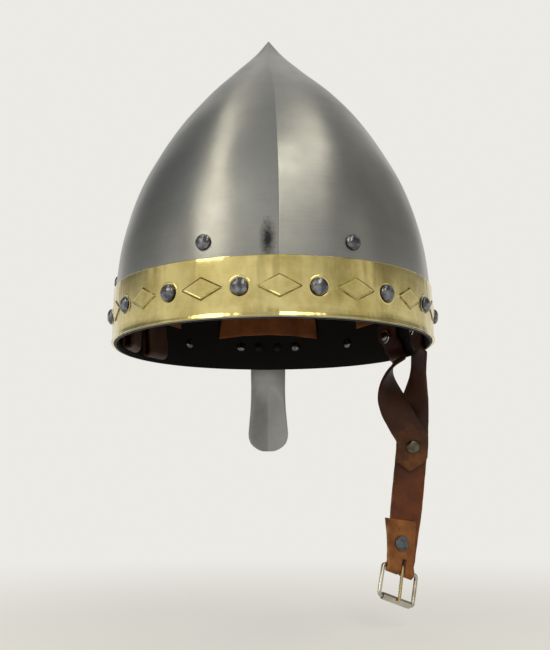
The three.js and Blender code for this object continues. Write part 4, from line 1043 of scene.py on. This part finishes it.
# Liner
# Each tongue's place, the half width, height and arch of its foot, its rivets' distance from its middle,
# and how far it bellies inward over what lies behind it
Tongue = namedtuple("Tongue", "pitch half_width edge arch rivet belly")
TONGUES = {
    "back": Tongue(0, 54, 23, 4, PITCH, 0),
    "right": Tongue(SIDE_TONGUE_PITCH, 55, 28, 3, PITCH, 0),
    "front": Tongue(PATTERN_COUNT / 2, 40, 23, 4, FRONT_LINER_RIVET_OFFSET,
                    TAIL_HEIGHT + 2 * GAP + crease_fall(BAND_HEIGHT + NASAL_TOP_RIVET_RISE)),
    "left": Tongue(-SIDE_TONGUE_PITCH, 55, 28, 3, PITCH,
                   TUCK_DEPTH + STRAP_THICKNESS / 2 + wall_rise(BAND_RIVET_HEIGHT) + GAP),
}


def plan_angle(pitch):
    point = inside_point(pitch, LINER_TOP, 0)
    return math.atan2(point.y, point.x)


def tongue_point(tongue, column, row, depth):
    """Point of a tongue: column goes -1 to 1 across it, row 0 to 1 from its foot to its laced tip."""
    foot = tongue.edge + tongue.arch * (1 - column**2)
    height = foot + (LINER_TOP - foot) * row
    wall_width = tongue.half_width / PITCH * mix(1, 0.8, ease(row, 0, 0.5))
    belly_end = (tongue.rivet - WASHER_RADIUS - GAP) / tongue.half_width
    flat = ease(abs(column), belly_end - BELLY_EDGE / tongue.half_width, belly_end)
    bellied = tongue.belly * (1 - flat) * (1 - ease(row, 0.35, 0.8))
    wall = inside_point(tongue.pitch + column * wall_width, height, LINER_STAND_OFF + depth + bellied)
    tip_angle = plan_angle(tongue.pitch) + column * TONGUE_TIP_HALF_WIDTH / TONGUE_TIP_RING
    leave = (LINER_RIVET_HEIGHT + LINER_LEAVE_RISE - tongue.edge) / (LINER_TOP - tongue.edge)
    return wall.lerp(ring_point(TONGUE_TIP_RING - depth, tip_angle, height), ease(row, leave, 1))


def make_tongue(name, materials):
    """One leather tongue with soft edges and the shallow waves of a hide that hangs from four corners."""
    tongue = TONGUES[name]
    columns = [-1, -0.99, -0.97] + [i / 20 for i in range(-18, 19)] + [0.97, 0.99, 1]
    rows = [0, 0.006, 0.018] + [0.04 + 0.92 * i / 36 for i in range(37)] + [0.985, 0.995, 1]

    def section(row):
        outer, inner = [], []
        for column in columns:
            edge = min(1 - abs(column), min(row, 1 - row) * 2)
            soft = 0.45 * (1 - clamp(edge / 0.02)) ** 2
            middle = tongue_point(tongue, column, row, LINER_LEATHER / 2)
            wave = 0.5 * noise.noise(middle / 24) * ease(row, 0.3, 0.5) * ease(1 - row, 0, 0.15)
            outer.append(tongue_point(tongue, column, row, soft + wave))
            inner.append(tongue_point(tongue, column, row, LINER_LEATHER - soft + wave))
        return outer + inner[::-1]

    points, faces = loft([section(row) for row in rows])
    width = 2 * len(columns)
    edge_side = {len(columns) - 1, width - 1}
    marks = [1 if i % width in edge_side else 0 for i in range(len(faces) - 2)] + [1, 1]
    piece = mesh_object("liner_" + name, points, faces, materials, marks, sharp_degrees=60)
    finish_piece(piece, "helmet", "liner_leather", "liner_tongue_" + name)


def make_lace(material):
    """The thong's loop, outside the ring of tips and passing inside it at each tip."""
    half = math.radians(LACE_BEND_DEGREES)
    swing = LACE_RADIUS + GAP + LINER_LEATHER / 2
    tips = [plan_angle(tongue.pitch) for tongue in TONGUES.values()]
    steps = 160
    points = []
    for i in range(steps):
        angle = math.tau * i / steps
        near = min(abs((angle - tip + math.pi) % math.tau - math.pi) for tip in tips)
        inside = math.cos(math.pi / 2 * near / half) ** 2 if near < half else 0
        ring = TONGUE_TIP_RING - LINER_LEATHER / 2 + swing * (1 - 2 * inside)
        points.append(ring_point(ring, angle, LINER_TOP - 4 * LACE_RADIUS))
    rings = sweep(points, LACE_RADIUS, 10, closed=True)
    thong = mesh_object("liner_thong", *loft(rings, joined=True), [material])
    finish_piece(thong, "helmet", "strap_leather", "liner_lace")


# Straps
GRAIN_SHARES = ((-1, -0.5), (-0.985, -0.82), (-0.95, -1), (-0.55, -1), (0, -1), (0.55, -1), (0.95, -1),
                (0.985, -0.82), (1, -0.5))
SECTION_SHARES = (*GRAIN_SHARES, *[(-u, -v) for u, v in GRAIN_SHARES])


def strap_mesh(name, stations, materials):
    """A strap with worn edges through (centre, across, width share), its materials grain, flesh and edge."""
    centres = [centre for centre, _, _ in stations]
    rings = []
    for i, (centre, across, width) in enumerate(stations):
        side = across.normalized()
        face = heading(centres, i).cross(side).normalized()
        ripple = 0.25 * noise.noise(centre / 6 + Vector((11, 5, 2)))
        rings.append([
            centre + side * (u * (STRAP_WIDTH / 2 * width + (ripple if abs(u) > 0.9 else 0) * width))
            + face * (v * STRAP_THICKNESS / 2)
            for u, v in SECTION_SHARES
        ])
    points, faces = loft(rings)
    sides = zip(SECTION_SHARES, SECTION_SHARES[1:] + SECTION_SHARES[:1])
    kinds = [0 if v0 == v1 == -1 else 1 if v0 == v1 == 1 else 2 for (_, v0), (_, v1) in sides]
    marks = [kinds[i % len(kinds)] for i in range(len(faces) - 2)] + [2, 2]
    return mesh_object(name, points, faces, materials, marks, sharp_degrees=55)


def turned(start, end, share):
    """Direction turned from start towards end by a share of the angle between them."""
    axis = start.cross(end).normalized()
    return Matrix.Rotation(start.angle(end) * share, 3, axis) @ start


BEND_PITCH_SHARES = (-0.22, -0.38)
BEND_POINTS = []
for bend_pitch, bend_share, inset in zip(ARM_PITCHES, BEND_PITCH_SHARES, STRAP_BEND_INSETS):
    BEND_POINTS.append(inside_point(bend_pitch + bend_share, 0, STRAP_DEPTH + inset))
    BEND_POINTS[-1].z = -STRAP_BEND_DROP
BEND_LINE = (BEND_POINTS[1] - BEND_POINTS[0]).normalized()
BAR_SLOPE = math.radians(BAR_SLOPE_DEGREES)
BAR_TURN = math.radians(BAR_TURN_DEGREES)
TO_BACK = Vector((0, -1, 0))
BAR_BACK = Vector((math.sin(BAR_TURN), -math.cos(BAR_TURN), 0))
BAR_ALONG = Vector((
    math.cos(BAR_TURN) * math.cos(BAR_SLOPE), math.sin(BAR_TURN) * math.cos(BAR_SLOPE), -math.sin(BAR_SLOPE)))
BAR_DOWN = BAR_ALONG.cross(BAR_BACK).normalized()
FOLD_RADIUS = WIRE_RADIUS + 1.4 * GAP + STRAP_THICKNESS / 2
LAYER = (STRAP_THICKNESS + GAP) / 2
BAR_FRONT = JUNCTION.y + (BAR_SIDE - JUNCTION.x) * math.tan(BAR_TURN) - LAYER / math.cos(BAR_TURN)
BAR = Vector((BAR_SIDE, BAR_FRONT, -BAR_DROP))
HANG = (BAR - BAR_BACK * LAYER - JUNCTION).normalized()
ARM_TIP_SHARES = ((0.45, 1), (0.62, 0.9), (0.81, 0.5), (1, 0.1))
HANG_TOP = BAR - HANG * (3 * FOLD_RADIUS) - BAR_BACK * LAYER + BAR_ALONG * FOLD_SKEW


def hang_frame(rise):
    """Middle of the hanging layer at a height above the bar, its direction to the right and its way out."""
    length = (HANG_TOP - JUNCTION).length
    share = clamp(1 - (rise - 3 * FOLD_RADIUS) / length)
    right = turned(Vector((1, 0, 0)), BAR_ALONG, ease(share, 0.42, 1))
    out = right.cross(HANG).normalized()
    spot = BAR - HANG * rise - BAR_BACK * LAYER + BAR_ALONG * FOLD_SKEW * share
    return spot, right, out * math.copysign(1, out.dot(BAR_BACK))


def chape_point(rise, depth):
    """Place at a distance above the bar, between the fold's layers or at a depth to the back."""
    spot, right, out = hang_frame(rise)
    skew = 2 * FOLD_SKEW + CHAPE_SKEW * rise / CHAPE_LENGTH
    return spot + out * (LAYER + depth) - right * skew


def anchor_stations(index):
    """From the riveted end of an arm, flat on the wall, down and off it to the bend."""
    pitch = ARM_PITCHES[index]
    rim_across = wall_along(pitch + BEND_PITCH_SHARES[index])
    top, foot = BAND_RIVET_HEIGHT + STRAP_END_ABOVE_RIVET, 0.45 * BAND_RIVET_HEIGHT
    lean = BEND_PITCH_SHARES[index] * 0.5
    stations = []
    for i in range(13):
        share = i / 12
        slide = lean * ease(share, 0.45, 1)
        height = mix(top, foot, share)
        stations.append((strap_point(pitch + slide, height, STRAP_DEPTH), wall_along(pitch + slide), 1))
    wall_centre, wall_across, _ = stations[-1]
    end = BEND_POINTS[index]
    for i in range(1, 9):
        share = i / 8
        swing = ease(share, 0, 0.85)
        centre = wall_centre.lerp(end, swing)
        centre.z = mix(wall_centre.z, end.z, share)
        across = wall_across.lerp(rim_across, swing)
        stations.append((centre, across.lerp(BEND_LINE, ease(share, 0.8, 1)), 1))
    return stations


def buckle_strap_stations():
    start = BEND_POINTS[0]
    square = Vector((-1, 0, 0))
    sloped = -BAR_ALONG
    below = start - Vector((0, 0, STRAP_THICKNESS / 2))
    stations = anchor_stations(0)
    for i in range(1, 31):
        share = i / 30
        centre = below.lerp(JUNCTION, share)
        centre.x += REAR_ARM_BOW * math.sin(math.pi * share)
        centre.y = mix(below.y, JUNCTION.y, ease(share, -0.05, 0.65))
        stations.append((centre, turned(BEND_LINE, square, ease(share, 0.1, 0.85)), 1))
    length = (HANG_TOP - JUNCTION).length
    for i in range(1, 33):
        rise = 3 * FOLD_RADIUS + length * (1 - i / 32)
        stations.append((JUNCTION.lerp(HANG_TOP, i / 32), -hang_frame(rise)[1], 1))
    for i in range(17):
        turn = math.pi * i / 16
        centre = BAR - BAR_BACK * (FOLD_RADIUS * math.cos(turn)) + BAR_DOWN * (FOLD_RADIUS * math.sin(turn))
        stations.append((centre + BAR_ALONG * (FOLD_SKEW * math.cos(turn)), sloped, 1))
    for i in range(2, 13):
        rise = CHAPE_LENGTH * i / 12
        stations.append((chape_point(rise, LAYER), -hang_frame(rise)[1], 1))
    return stations


def front_arm_stations():
    start = BEND_POINTS[1]
    end = JUNCTION + TO_BACK * (STRAP_THICKNESS + ARM_GAP)
    landing = end - HANG * STRAP_RIVET_RADIUS
    across = Vector((1, 0, 0))
    lean = math.radians(FRONT_ARM_LEAN_DEGREES)
    leaning = Vector((math.cos(lean), 0, math.sin(lean)))
    below = start - Vector((0, 0, STRAP_THICKNESS / 2))
    stations = anchor_stations(1)
    for i in range(1, 37):
        share = i / 36
        centre = below.lerp(landing, share)
        centre.x -= FRONT_ARM_BOW * math.sin(math.pi * share**0.72)
        lift = FRONT_ARM_LIFT * math.sin(math.pi * share)
        centre.y = mix(below.y, landing.y, ease(share, -0.05, 0.5)) - lift
        stations.append((centre, turned(BEND_LINE, leaning, ease(share, -0.3, 0.85)), 1))
    stations.append((end, leaning.lerp(across, 0.6), 1))
    for share, width in ARM_TIP_SHARES:
        stations.append((end + HANG * (ARM_TAB * share), across, width))
    return stations


def box_cutter(matrix, size):
    points = [matrix @ Vector((x * size[0], y * size[1], z * size[2]))
              for x in (-0.5, 0.5) for y in (-0.5, 0.5) for z in (-0.5, 0.5)]
    faces = [(0, 1, 3, 2), (4, 6, 7, 5), (0, 4, 5, 1), (2, 3, 7, 6), (0, 2, 6, 4), (1, 5, 7, 3)]
    return mesh_object("cutter", points, faces, [])


def blend_at_rim(piece):
    """Bakes the piece's placement into its mesh. The leather's bend just under the rim, where its joint's
    line runs, is already in its stations.
    """
    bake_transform(piece)


def make_chin_strap(materials):
    strap = strap_mesh("chin_strap_buckle_half", buckle_strap_stations(), materials)
    slot = basis(BAR_ALONG, -BAR_BACK, -BAR_DOWN, BAR)
    strap = cut_with(strap, [box_cutter(slot, (2 * PRONG_RADIUS + 4 * GAP, 8 * FOLD_RADIUS, 2 * SLOT_REACH))])
    blend_at_rim(strap)
    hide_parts("strap_anchor_rear", "buckle_strap")
    arm = strap_mesh("chin_strap_front_arm", front_arm_stations(), materials)
    blend_at_rim(arm)
    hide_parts("strap_anchor_front", "buckle_strap_arm")


def cap_rivet(node, place, radius, cap, seat, grip, material, body, flat_cap=True):
    head = set_on_wall(node + "_cap", rivet_form(radius, cap, seat, grip, flat_cap), [place], material)
    finish_piece(head, body, "nickel", node)


def make_strap_rivets(colours):
    nickel = nickel_plate(colours)
    steel_cap = worn_metal("pressed_steel_cap", colours.cap, colours.cap_worn, 0.24, patch=0.3)
    zinc_cap = worn_metal("zinc_plated_cap", colours.zinc, colours.zinc_worn, 0.3, patch=0.35)
    seat = STRAP_THICKNESS / 2 + GAP
    cap_rivet("junction_rivet", (JUNCTION, TO_BACK), STRAP_RIVET_RADIUS, STRAP_RIVET_CAP,
              seat + STRAP_THICKNESS + ARM_GAP + GAP / 2, seat, steel_cap, "strap", flat_cap=False)
    place = chape_point(CHAPE_RIVET_RISE, 0), hang_frame(CHAPE_RIVET_RISE)[2]
    cap_rivet("chape_rivet", place, CHAPE_RIVET_RADIUS, CHAPE_RIVET_CAP, LAYER + seat, LAYER + seat, zinc_cap,
              "strap")
    height = TUCK_JUNCTION_HEIGHT
    place = (strap_point(-SIDE_TONGUE_PITCH, height, TUCK_JUNCTION_DEPTH),
             -skull_normal(angle_at(-SIDE_TONGUE_PITCH), height))
    cap_rivet("tuck_rivet", place, STRAP_RIVET_RADIUS, CHAPE_RIVET_CAP,
              seat + STRAP_THICKNESS + GAP + wall_rise(height), seat, nickel, "helmet")


def tucked_arm(pitch, junction_depth):
    """Spots (pitch, height, depth, width) from the riveted end, round under the rivet and up the wall."""
    top = BAND_RIVET_HEIGHT + STRAP_END_ABOVE_RIVET
    spots = [(pitch, mix(top, TUCK_TURN_HEIGHT, i / 8), STRAP_DEPTH, 1) for i in range(8)]
    radius = (TUCK_DEPTH - STRAP_DEPTH) / 2
    for i in range(13):
        turn = math.pi * i / 12
        depth = (STRAP_DEPTH + TUCK_DEPTH) / 2 - radius * math.cos(turn)
        spots.append((pitch, TUCK_TURN_HEIGHT - radius * math.sin(turn), depth, 1))
    for i in range(1, 25):
        height = mix(TUCK_TURN_HEIGHT, TUCK_JUNCTION_HEIGHT, i / 24)
        drifted = mix(pitch, -SIDE_TONGUE_PITCH, ease(height, TUCK_TURN_HEIGHT, TUCK_JUNCTION_HEIGHT))
        settle = ease(height, BAND_RIVET_HEIGHT + WASHER_RADIUS, LINER_RIVET_HEIGHT)
        spots.append((drifted, height, mix(TUCK_DEPTH, junction_depth, settle), 1))
    return spots


def wall_stations(spots):
    centres = [strap_point(pitch, height, depth) for pitch, height, depth, _ in spots]
    stations = []
    for i, (pitch, _, _, width) in enumerate(spots):
        along = heading(centres, i)
        flat = wall_along(pitch)
        stations.append((centres[i], flat - along * flat.dot(along), width))
    return stations


def make_tucked_strap(materials):
    spots = tucked_arm(-ARM_PITCHES[0], TUCK_JUNCTION_DEPTH)
    for i in range(1, 25):
        share = i / 24
        depth = mix(TUCK_JUNCTION_DEPTH, STRAP_DEPTH + 3 * GAP, ease(share, 0, 0.3))
        width = 1 if share < 0.88 else max(0.2, math.sqrt(1 - ((share - 0.88) / 0.12) ** 2))
        spots.append((-SIDE_TONGUE_PITCH, mix(TUCK_JUNCTION_HEIGHT, TUCK_TOP, share), depth, width))
    strap = strap_mesh("chin_strap_tongue_half", wall_stations(spots), materials)
    cutters = []
    for i in range(PUNCH_COUNT):
        centre, out, up = wall_frame(angle_at(-SIDE_TONGUE_PITCH), TUCK_TOP - (i + 1.4) * PUNCH_PITCH)
        punch = [(PUNCH_RADIUS, -3 * (SHEET + STRAP_THICKNESS)), (PUNCH_RADIUS, 0)]
        rings = lathe(punch, 20, basis(up.cross(out), up, out, centre))
        cutters.append(mesh_object("cutter", *loft(rings), []))
    strap = cut_with(strap, cutters)
    finish_piece(strap, "helmet", "strap_leather", "tongue_strap")
    depth = TUCK_JUNCTION_DEPTH + STRAP_THICKNESS + GAP + wall_rise(TUCK_JUNCTION_HEIGHT)
    spots = tucked_arm(-ARM_PITCHES[1], depth)
    for share, width in ARM_TIP_SHARES:
        spots.append((-SIDE_TONGUE_PITCH, TUCK_JUNCTION_HEIGHT + ARM_TAB * share, depth, width))
    arm = strap_mesh("chin_strap_tongue_arm", wall_stations(spots), materials)
    finish_piece(arm, "helmet", "strap_leather", "tongue_strap_arm")


# Buckle, in the frame of its bar: X along the bar, Y down the strap, Z to the front
BUCKLE_REST = math.radians(BUCKLE_REST_DEGREES)
BUCKLE_DOWN = BAR_DOWN * math.cos(BUCKLE_REST) + BAR_BACK * math.sin(BUCKLE_REST)
BUCKLE = basis(BAR_ALONG, BUCKLE_DOWN, BAR_ALONG.cross(BUCKLE_DOWN), BAR)
FRAME_HALF_WIDTH = STRAP_WIDTH / 2 + FRAME_CLEARANCE + WIRE_RADIUS


def frame_path():
    """Rounded rectangle of the wire's centre line, bar first."""
    points = []
    for side, far, start in ((1, 0, -90), (1, 1, 0), (-1, 1, 90), (-1, 0, 180)):
        centre = Vector((side * (FRAME_HALF_WIDTH - FRAME_CORNER),
                         FRAME_LENGTH - FRAME_CORNER if far else FRAME_CORNER, 0))
        points += [centre + ring_point(FRAME_CORNER, math.radians(start + 90 * i / 8)) for i in range(9)]
    return points


def laid_in_buckle(rings):
    return [[BUCKLE @ point for point in ring] for ring in rings]


def make_buckle(colours):
    nickel = nickel_plate(colours)
    brass = worn_metal("worn_brass", colours.prong, colours.nickel_worn, 0.3)
    wire = laid_in_buckle(sweep(frame_path(), WIRE_RADIUS, 18, closed=True))
    wire_frame = mesh_object("buckle_wire", *loft(wire, joined=True), [nickel])
    finish_piece(wire_frame, "buckle", "nickel", "buckle_frame")
    inner = WIRE_RADIUS + GAP
    outer = inner + ROLLER_WALL
    half = FRAME_HALF_WIDTH - FRAME_CORNER - 2 * GAP
    profile = [(inner, -half), (outer - SOFT_EDGE, -half), (outer, -half + SOFT_EDGE),
               (outer, half - SOFT_EDGE), (outer - SOFT_EDGE, half), (inner, half)]
    lay = BUCKLE @ Matrix.Translation((0, FRAME_LENGTH, 0)) @ Matrix.Rotation(math.pi / 2, 4, "Y")
    roller = turned_object("buckle_sleeve", profile, 32, [nickel], lay, joined=True, sharp_degrees=35)
    finish_piece(roller, "roller", "nickel", "buckle_roller")
    hook, rest = WIRE_RADIUS + GAP + PRONG_RADIUS, outer + GAP + PRONG_RADIUS
    points, widths = [], []
    for i in range(28, 0, -1):
        turn = -math.radians(PRONG_HOOK_DEGREES * i / 28)
        points.append(Vector((0, hook * math.sin(turn), -hook * math.cos(turn))))
        widths.append(min(1, 0.6 + (28 - i) / 8))
    for i in range(25):
        share = 1.08 * i / 24
        points.append(Vector((0, FRAME_LENGTH * share, -mix(hook, rest, share))))
        widths.append(1 - 0.45 * ease(share, 0.9, 1.08))
    pin = laid_in_buckle(sweep(points, PRONG_RADIUS, 14, reference=Vector((1, 0, 0)), radii=widths))
    prong = mesh_object("buckle_pin", *loft(pin), [brass], sharp_degrees=60)
    finish_piece(prong, "prong", "prong_brass", "buckle_prong")


# Stage
CAMERA_PLACE = Vector((-0.01994, -0.62124, -0.08868))
CAMERA_LENS = 52.42
CAMERA_TURNS = ((-1.986, "Z"), (90 + 9.574, "X"), (-0.379, "Z"))
CEILING_STRIPS = (
    ("left_near_strip", (-2.75, -2.5), (-1.3, -1.0), 1.2, 3.2, "#fff6df"),
    ("left_far_strip", (-1.22, -0.92), (-0.5, 0.3), 0.32, 2.0, "#fff6df"),
    ("right_near_strip", (0.5, -3.0), (0.62, -1.45), 0.8, 3.2, "#fff8e4"),
    ("right_far_strip", (0.66, -1.4), (0.7, -0.05), 0.34, 3.3, "#fff8e4"),
)
CEILING = 1.6


def ceiling_strip(name, start, end, width, radiance, tint):
    """A long soft lamp under the ceiling, facing down, from start to end in metres."""
    first, last = Vector((*start, CEILING)), Vector((*end, CEILING))
    light = bpy.data.lights.new(name, "AREA")
    light.shape = "RECTANGLE"
    light.size, light.size_y = width, (last - first).length
    light.energy = radiance * math.pi * light.size * light.size_y
    light.color = linear(tint)
    lamp = linked(name, light)
    lamp.location = (first + last) / 2
    lamp.rotation_euler = (0, 0, math.atan2(last.y - first.y, last.x - first.x) - math.pi / 2)


# How bright the studio's walls are round about: degrees from behind the camera, and grey level
WALL_PALE = "#eceae5"
LOW_WALL = (
    (-180, WALL_PALE), (-155, WALL_PALE), (-142, "#8a8a88"), (-122, "#7c7c7a"), (-104, "#a4a29c"),
    (-84, "#e6e2d8"), (-66, "#d4d0c6"), (-46, "#f4f0e4"), (-22, "#f0ece2"), (-10, "#b4b0a6"), (4, "#ece8de"),
    (26, "#d2cfc6"), (48, "#b4b2ac"), (64, "#d8d4ca"), (84, "#807c74"), (104, "#96948c"), (136, "#908e88"),
    (152, WALL_PALE), (180, WALL_PALE),
)
HIGH_WALL = (
    (-180, WALL_PALE), (-155, WALL_PALE), (-140, "#74777a"), (-105, "#85888a"), (-80, "#aaadae"),
    (-50, "#d4d4d0"), (-15, "#c6cacd"), (10, "#d0d0cc"), (34, "#b0afab"), (60, "#989793"), (115, "#a09e9a"),
    (138, "#bcbab4"), (152, WALL_PALE), (180, WALL_PALE),
)


def wall_ramp(tree, share, levels):
    ramp = add(tree, "ShaderNodeValToRGB", {0: share})
    stops = ramp.color_ramp.elements
    for i, (degrees, level) in enumerate(levels):
        at = (degrees + 180) / 360
        stop = stops[i] if i < 2 else stops.new(at)
        stop.position = at
        stop.color = rgba(linear(level))
    return ramp.outputs[0]


def make_world(colours):
    """A plain studio: pale round the floor and behind the helmet, lighter and darker higher up."""
    world = bpy.data.worlds.new("studio_room")
    bpy.context.scene.world = world
    world.use_nodes = True
    tree = world.node_tree
    tree.nodes.clear()
    generated = add(tree, "ShaderNodeTexCoord").outputs["Generated"]
    way = add(tree, "ShaderNodeSeparateXYZ", {0: generated}).outputs
    azimuth = computed(tree, "ARCTAN2", way["X"], computed(tree, "MULTIPLY", way["Y"], -1))
    share = mapped(tree, azimuth, -math.pi, math.pi)
    walls = blended(tree, mapped(tree, way["Z"], 0.42, 0.6), wall_ramp(tree, share, LOW_WALL),
                    wall_ramp(tree, share, HIGH_WALL))
    roof = computed(tree, "MULTIPLY", mapped(tree, way["Z"], 0.8, 0.94), mapped(tree, way["Y"], 0.35, 0.1))
    above = mapped(tree, way["Z"], 0.12, 0.28, interpolation_type="SMOOTHSTEP")
    colour = blended(tree, above, linear(WALL_PALE), blended(tree, roof, walls, colours.ceiling))
    room = add(tree, "ShaderNodeBackground", {"Color": colour, "Strength": 1}).outputs[0]
    add(tree, "ShaderNodeOutputWorld", {"Surface": room})


def floor_plaster(colours):
    """Pale plaster that keeps the helmet's shadow and fades into the room's wall further out."""
    material, tree, place = new_material("pale_plaster")
    if not tree:
        return material
    flat = add(tree, "ShaderNodeVectorMath", {0: place, 1: (1, 1, 0)}, operation="MULTIPLY").outputs[0]
    far = mapped(tree, length_of(tree, flat), 120, 700, interpolation_type="SMOOTHSTEP")
    path = add(tree, "ShaderNodeLightPath").outputs
    seen = computed(tree, "MAXIMUM", path["Is Camera Ray"], path["Is Glossy Ray"])
    shown = computed(tree, "MAXIMUM", seen, path["Is Transmission Ray"])
    share = computed(tree, "MULTIPLY", shown, mapped(tree, far, 0, 1, 0.5, 1))
    lit = add(tree, "ShaderNodeBsdfDiffuse", {"Color": rgba(colours.floor)}).outputs[0]
    pale = add(tree, "ShaderNodeEmission", {"Color": rgba(linear(WALL_PALE)), "Strength": 1}).outputs[0]
    both = add(tree, "ShaderNodeMixShader", {0: share, 1: lit, 2: pale}).outputs[0]
    add(tree, "ShaderNodeOutputMaterial", {"Surface": both})
    return material


def make_stage(colours):
    scene = bpy.context.scene
    scene.view_settings.view_transform = "Standard"
    height = CAD_BOX[0].z / MM - FLOOR_DROP
    floor = turned_object("floor", [(0, height), (FLOOR_RADIUS, height)], 96, [floor_plaster(colours)])
    camera = linked("camera", bpy.data.cameras.new("camera"))
    camera.data.sensor_width = 36
    camera.data.lens = CAMERA_LENS
    camera.data.clip_start = 0.01
    camera.location = CAMERA_PLACE
    yaw, pitch, roll = [Matrix.Rotation(math.radians(angle), 4, axis) for angle, axis in CAMERA_TURNS]
    camera.rotation_euler = (yaw @ pitch @ roll).to_euler()
    scene.camera = camera
    make_world(colours)
    for strip in CEILING_STRIPS:
        ceiling_strip(*strip)


# The add-on's operators, one for each group of pieces and one for the stage
class HelmetOperator:
    """Makes pieces from the sizes and colours set in the scene."""

    def execute(self, context):
        self.make(context.scene.helmet_sizes, context.scene.helmet_colours)
        return {"FINISHED"}


class HELMET_OT_skull(HelmetOperator, bpy.types.Operator):
    """Raises the steel skull with its ridge"""

    bl_idname = "helmet.skull"
    bl_label = "Skull"

    def make(self, sizes, colours):
        make_skull(sizes, [steel_satin(colours), black_enamel(colours)])


class HELMET_OT_brow_band(HelmetOperator, bpy.types.Operator):
    """Makes the brass band with its lozenges and the dimples round its rivets"""

    bl_idname = "helmet.brow_band"
    bl_label = "Brow Band"

    def make(self, sizes, colours):
        brass = polished_brass(colours)
        # Darker brass for the lozenges' sloped feet, partly tarnish and partly painted shade that outlines
        # them
        tarnish = worn_metal("tarnished_brass", colours.brass_dark, colours.brass_tarnish, 0.3, patch=0.15)
        make_band([brass, tarnish])
        make_dimples(brass)


class HELMET_OT_rivets(HelmetOperator, bpy.types.Operator):
    """Sets the hammered rivets and their washers"""

    bl_idname = "helmet.rivets"
    bl_label = "Rivets"

    def make(self, sizes, colours):
        make_rivets(sizes, colours)
        make_washers(colours)


class HELMET_OT_nose_guard(HelmetOperator, bpy.types.Operator):
    """Makes the nose guard"""

    bl_idname = "helmet.nose_guard"
    bl_label = "Nose Guard"

    def make(self, sizes, colours):
        make_nasal(steel_satin(colours))


class HELMET_OT_liner(HelmetOperator, bpy.types.Operator):
    """Makes the leather tongues and the thong that laces them"""

    bl_idname = "helmet.liner"
    bl_label = "Liner"

    def make(self, sizes, colours):
        for name in TONGUES:
            make_tongue(name, liner_leathers(colours))
        # The thong takes the strap's grain leather, whose painted shade darkens it almost fully this high in
        # the helmet
        make_lace(strap_leathers(colours)[0])


class HELMET_OT_chin_strap(HelmetOperator, bpy.types.Operator):
    """Makes both halves of the chin strap and their rivets"""

    bl_idname = "helmet.chin_strap"
    bl_label = "Chin Strap"

    def make(self, sizes, colours):
        hides = strap_leathers(colours)
        make_chin_strap(hides)
        make_tucked_strap(hides)
        make_strap_rivets(colours)


class HELMET_OT_buckle(HelmetOperator, bpy.types.Operator):
    """Makes the buckle's frame, roller and prong"""

    bl_idname = "helmet.buckle"
    bl_label = "Buckle"

    def make(self, sizes, colours):
        make_buckle(colours)


class HELMET_OT_stage(HelmetOperator, bpy.types.Operator):
    """Sets up the floor, the lamps and the camera"""

    bl_idname = "helmet.stage"
    bl_label = "Stage"

    def make(self, sizes, colours):
        make_stage(colours)


OPERATORS = (
    HELMET_OT_skull, HELMET_OT_brow_band, HELMET_OT_rivets, HELMET_OT_nose_guard, HELMET_OT_liner,
    HELMET_OT_chin_strap, HELMET_OT_buckle, HELMET_OT_stage,
)


class HELMET_PT_panel(bpy.types.Panel):
    """Lists the helmet's pieces, sizes and colours"""

    bl_label = "Nasal Helmet"
    bl_space_type = "VIEW_3D"
    bl_region_type = "UI"
    bl_category = "Helmet"

    def draw(self, context):
        for operator in OPERATORS:
            self.layout.operator(operator.bl_idname)
        for group in (context.scene.helmet_sizes, context.scene.helmet_colours):
            for name in group.__annotations__:
                self.layout.prop(group, name)


CLASSES = (HelmetColours, HelmetSizes, *OPERATORS, HELMET_PT_panel)


def register():
    for made in CLASSES:
        bpy.utils.register_class(made)
    bpy.types.Scene.helmet_sizes = PointerProperty(type=HelmetSizes)
    bpy.types.Scene.helmet_colours = PointerProperty(type=HelmetColours)


def unregister():
    del bpy.types.Scene.helmet_colours
    del bpy.types.Scene.helmet_sizes
    for made in reversed(CLASSES):
        bpy.utils.unregister_class(made)


def main():
    register()
    bpy.ops.helmet.skull()
    bpy.ops.helmet.brow_band()
    bpy.ops.helmet.rivets()
    bpy.ops.helmet.nose_guard()
    bpy.ops.helmet.liner()
    bpy.ops.helmet.chin_strap()
    bpy.ops.helmet.buckle()
    bpy.ops.helmet.stage()


if __name__ == "__main__":
    main()
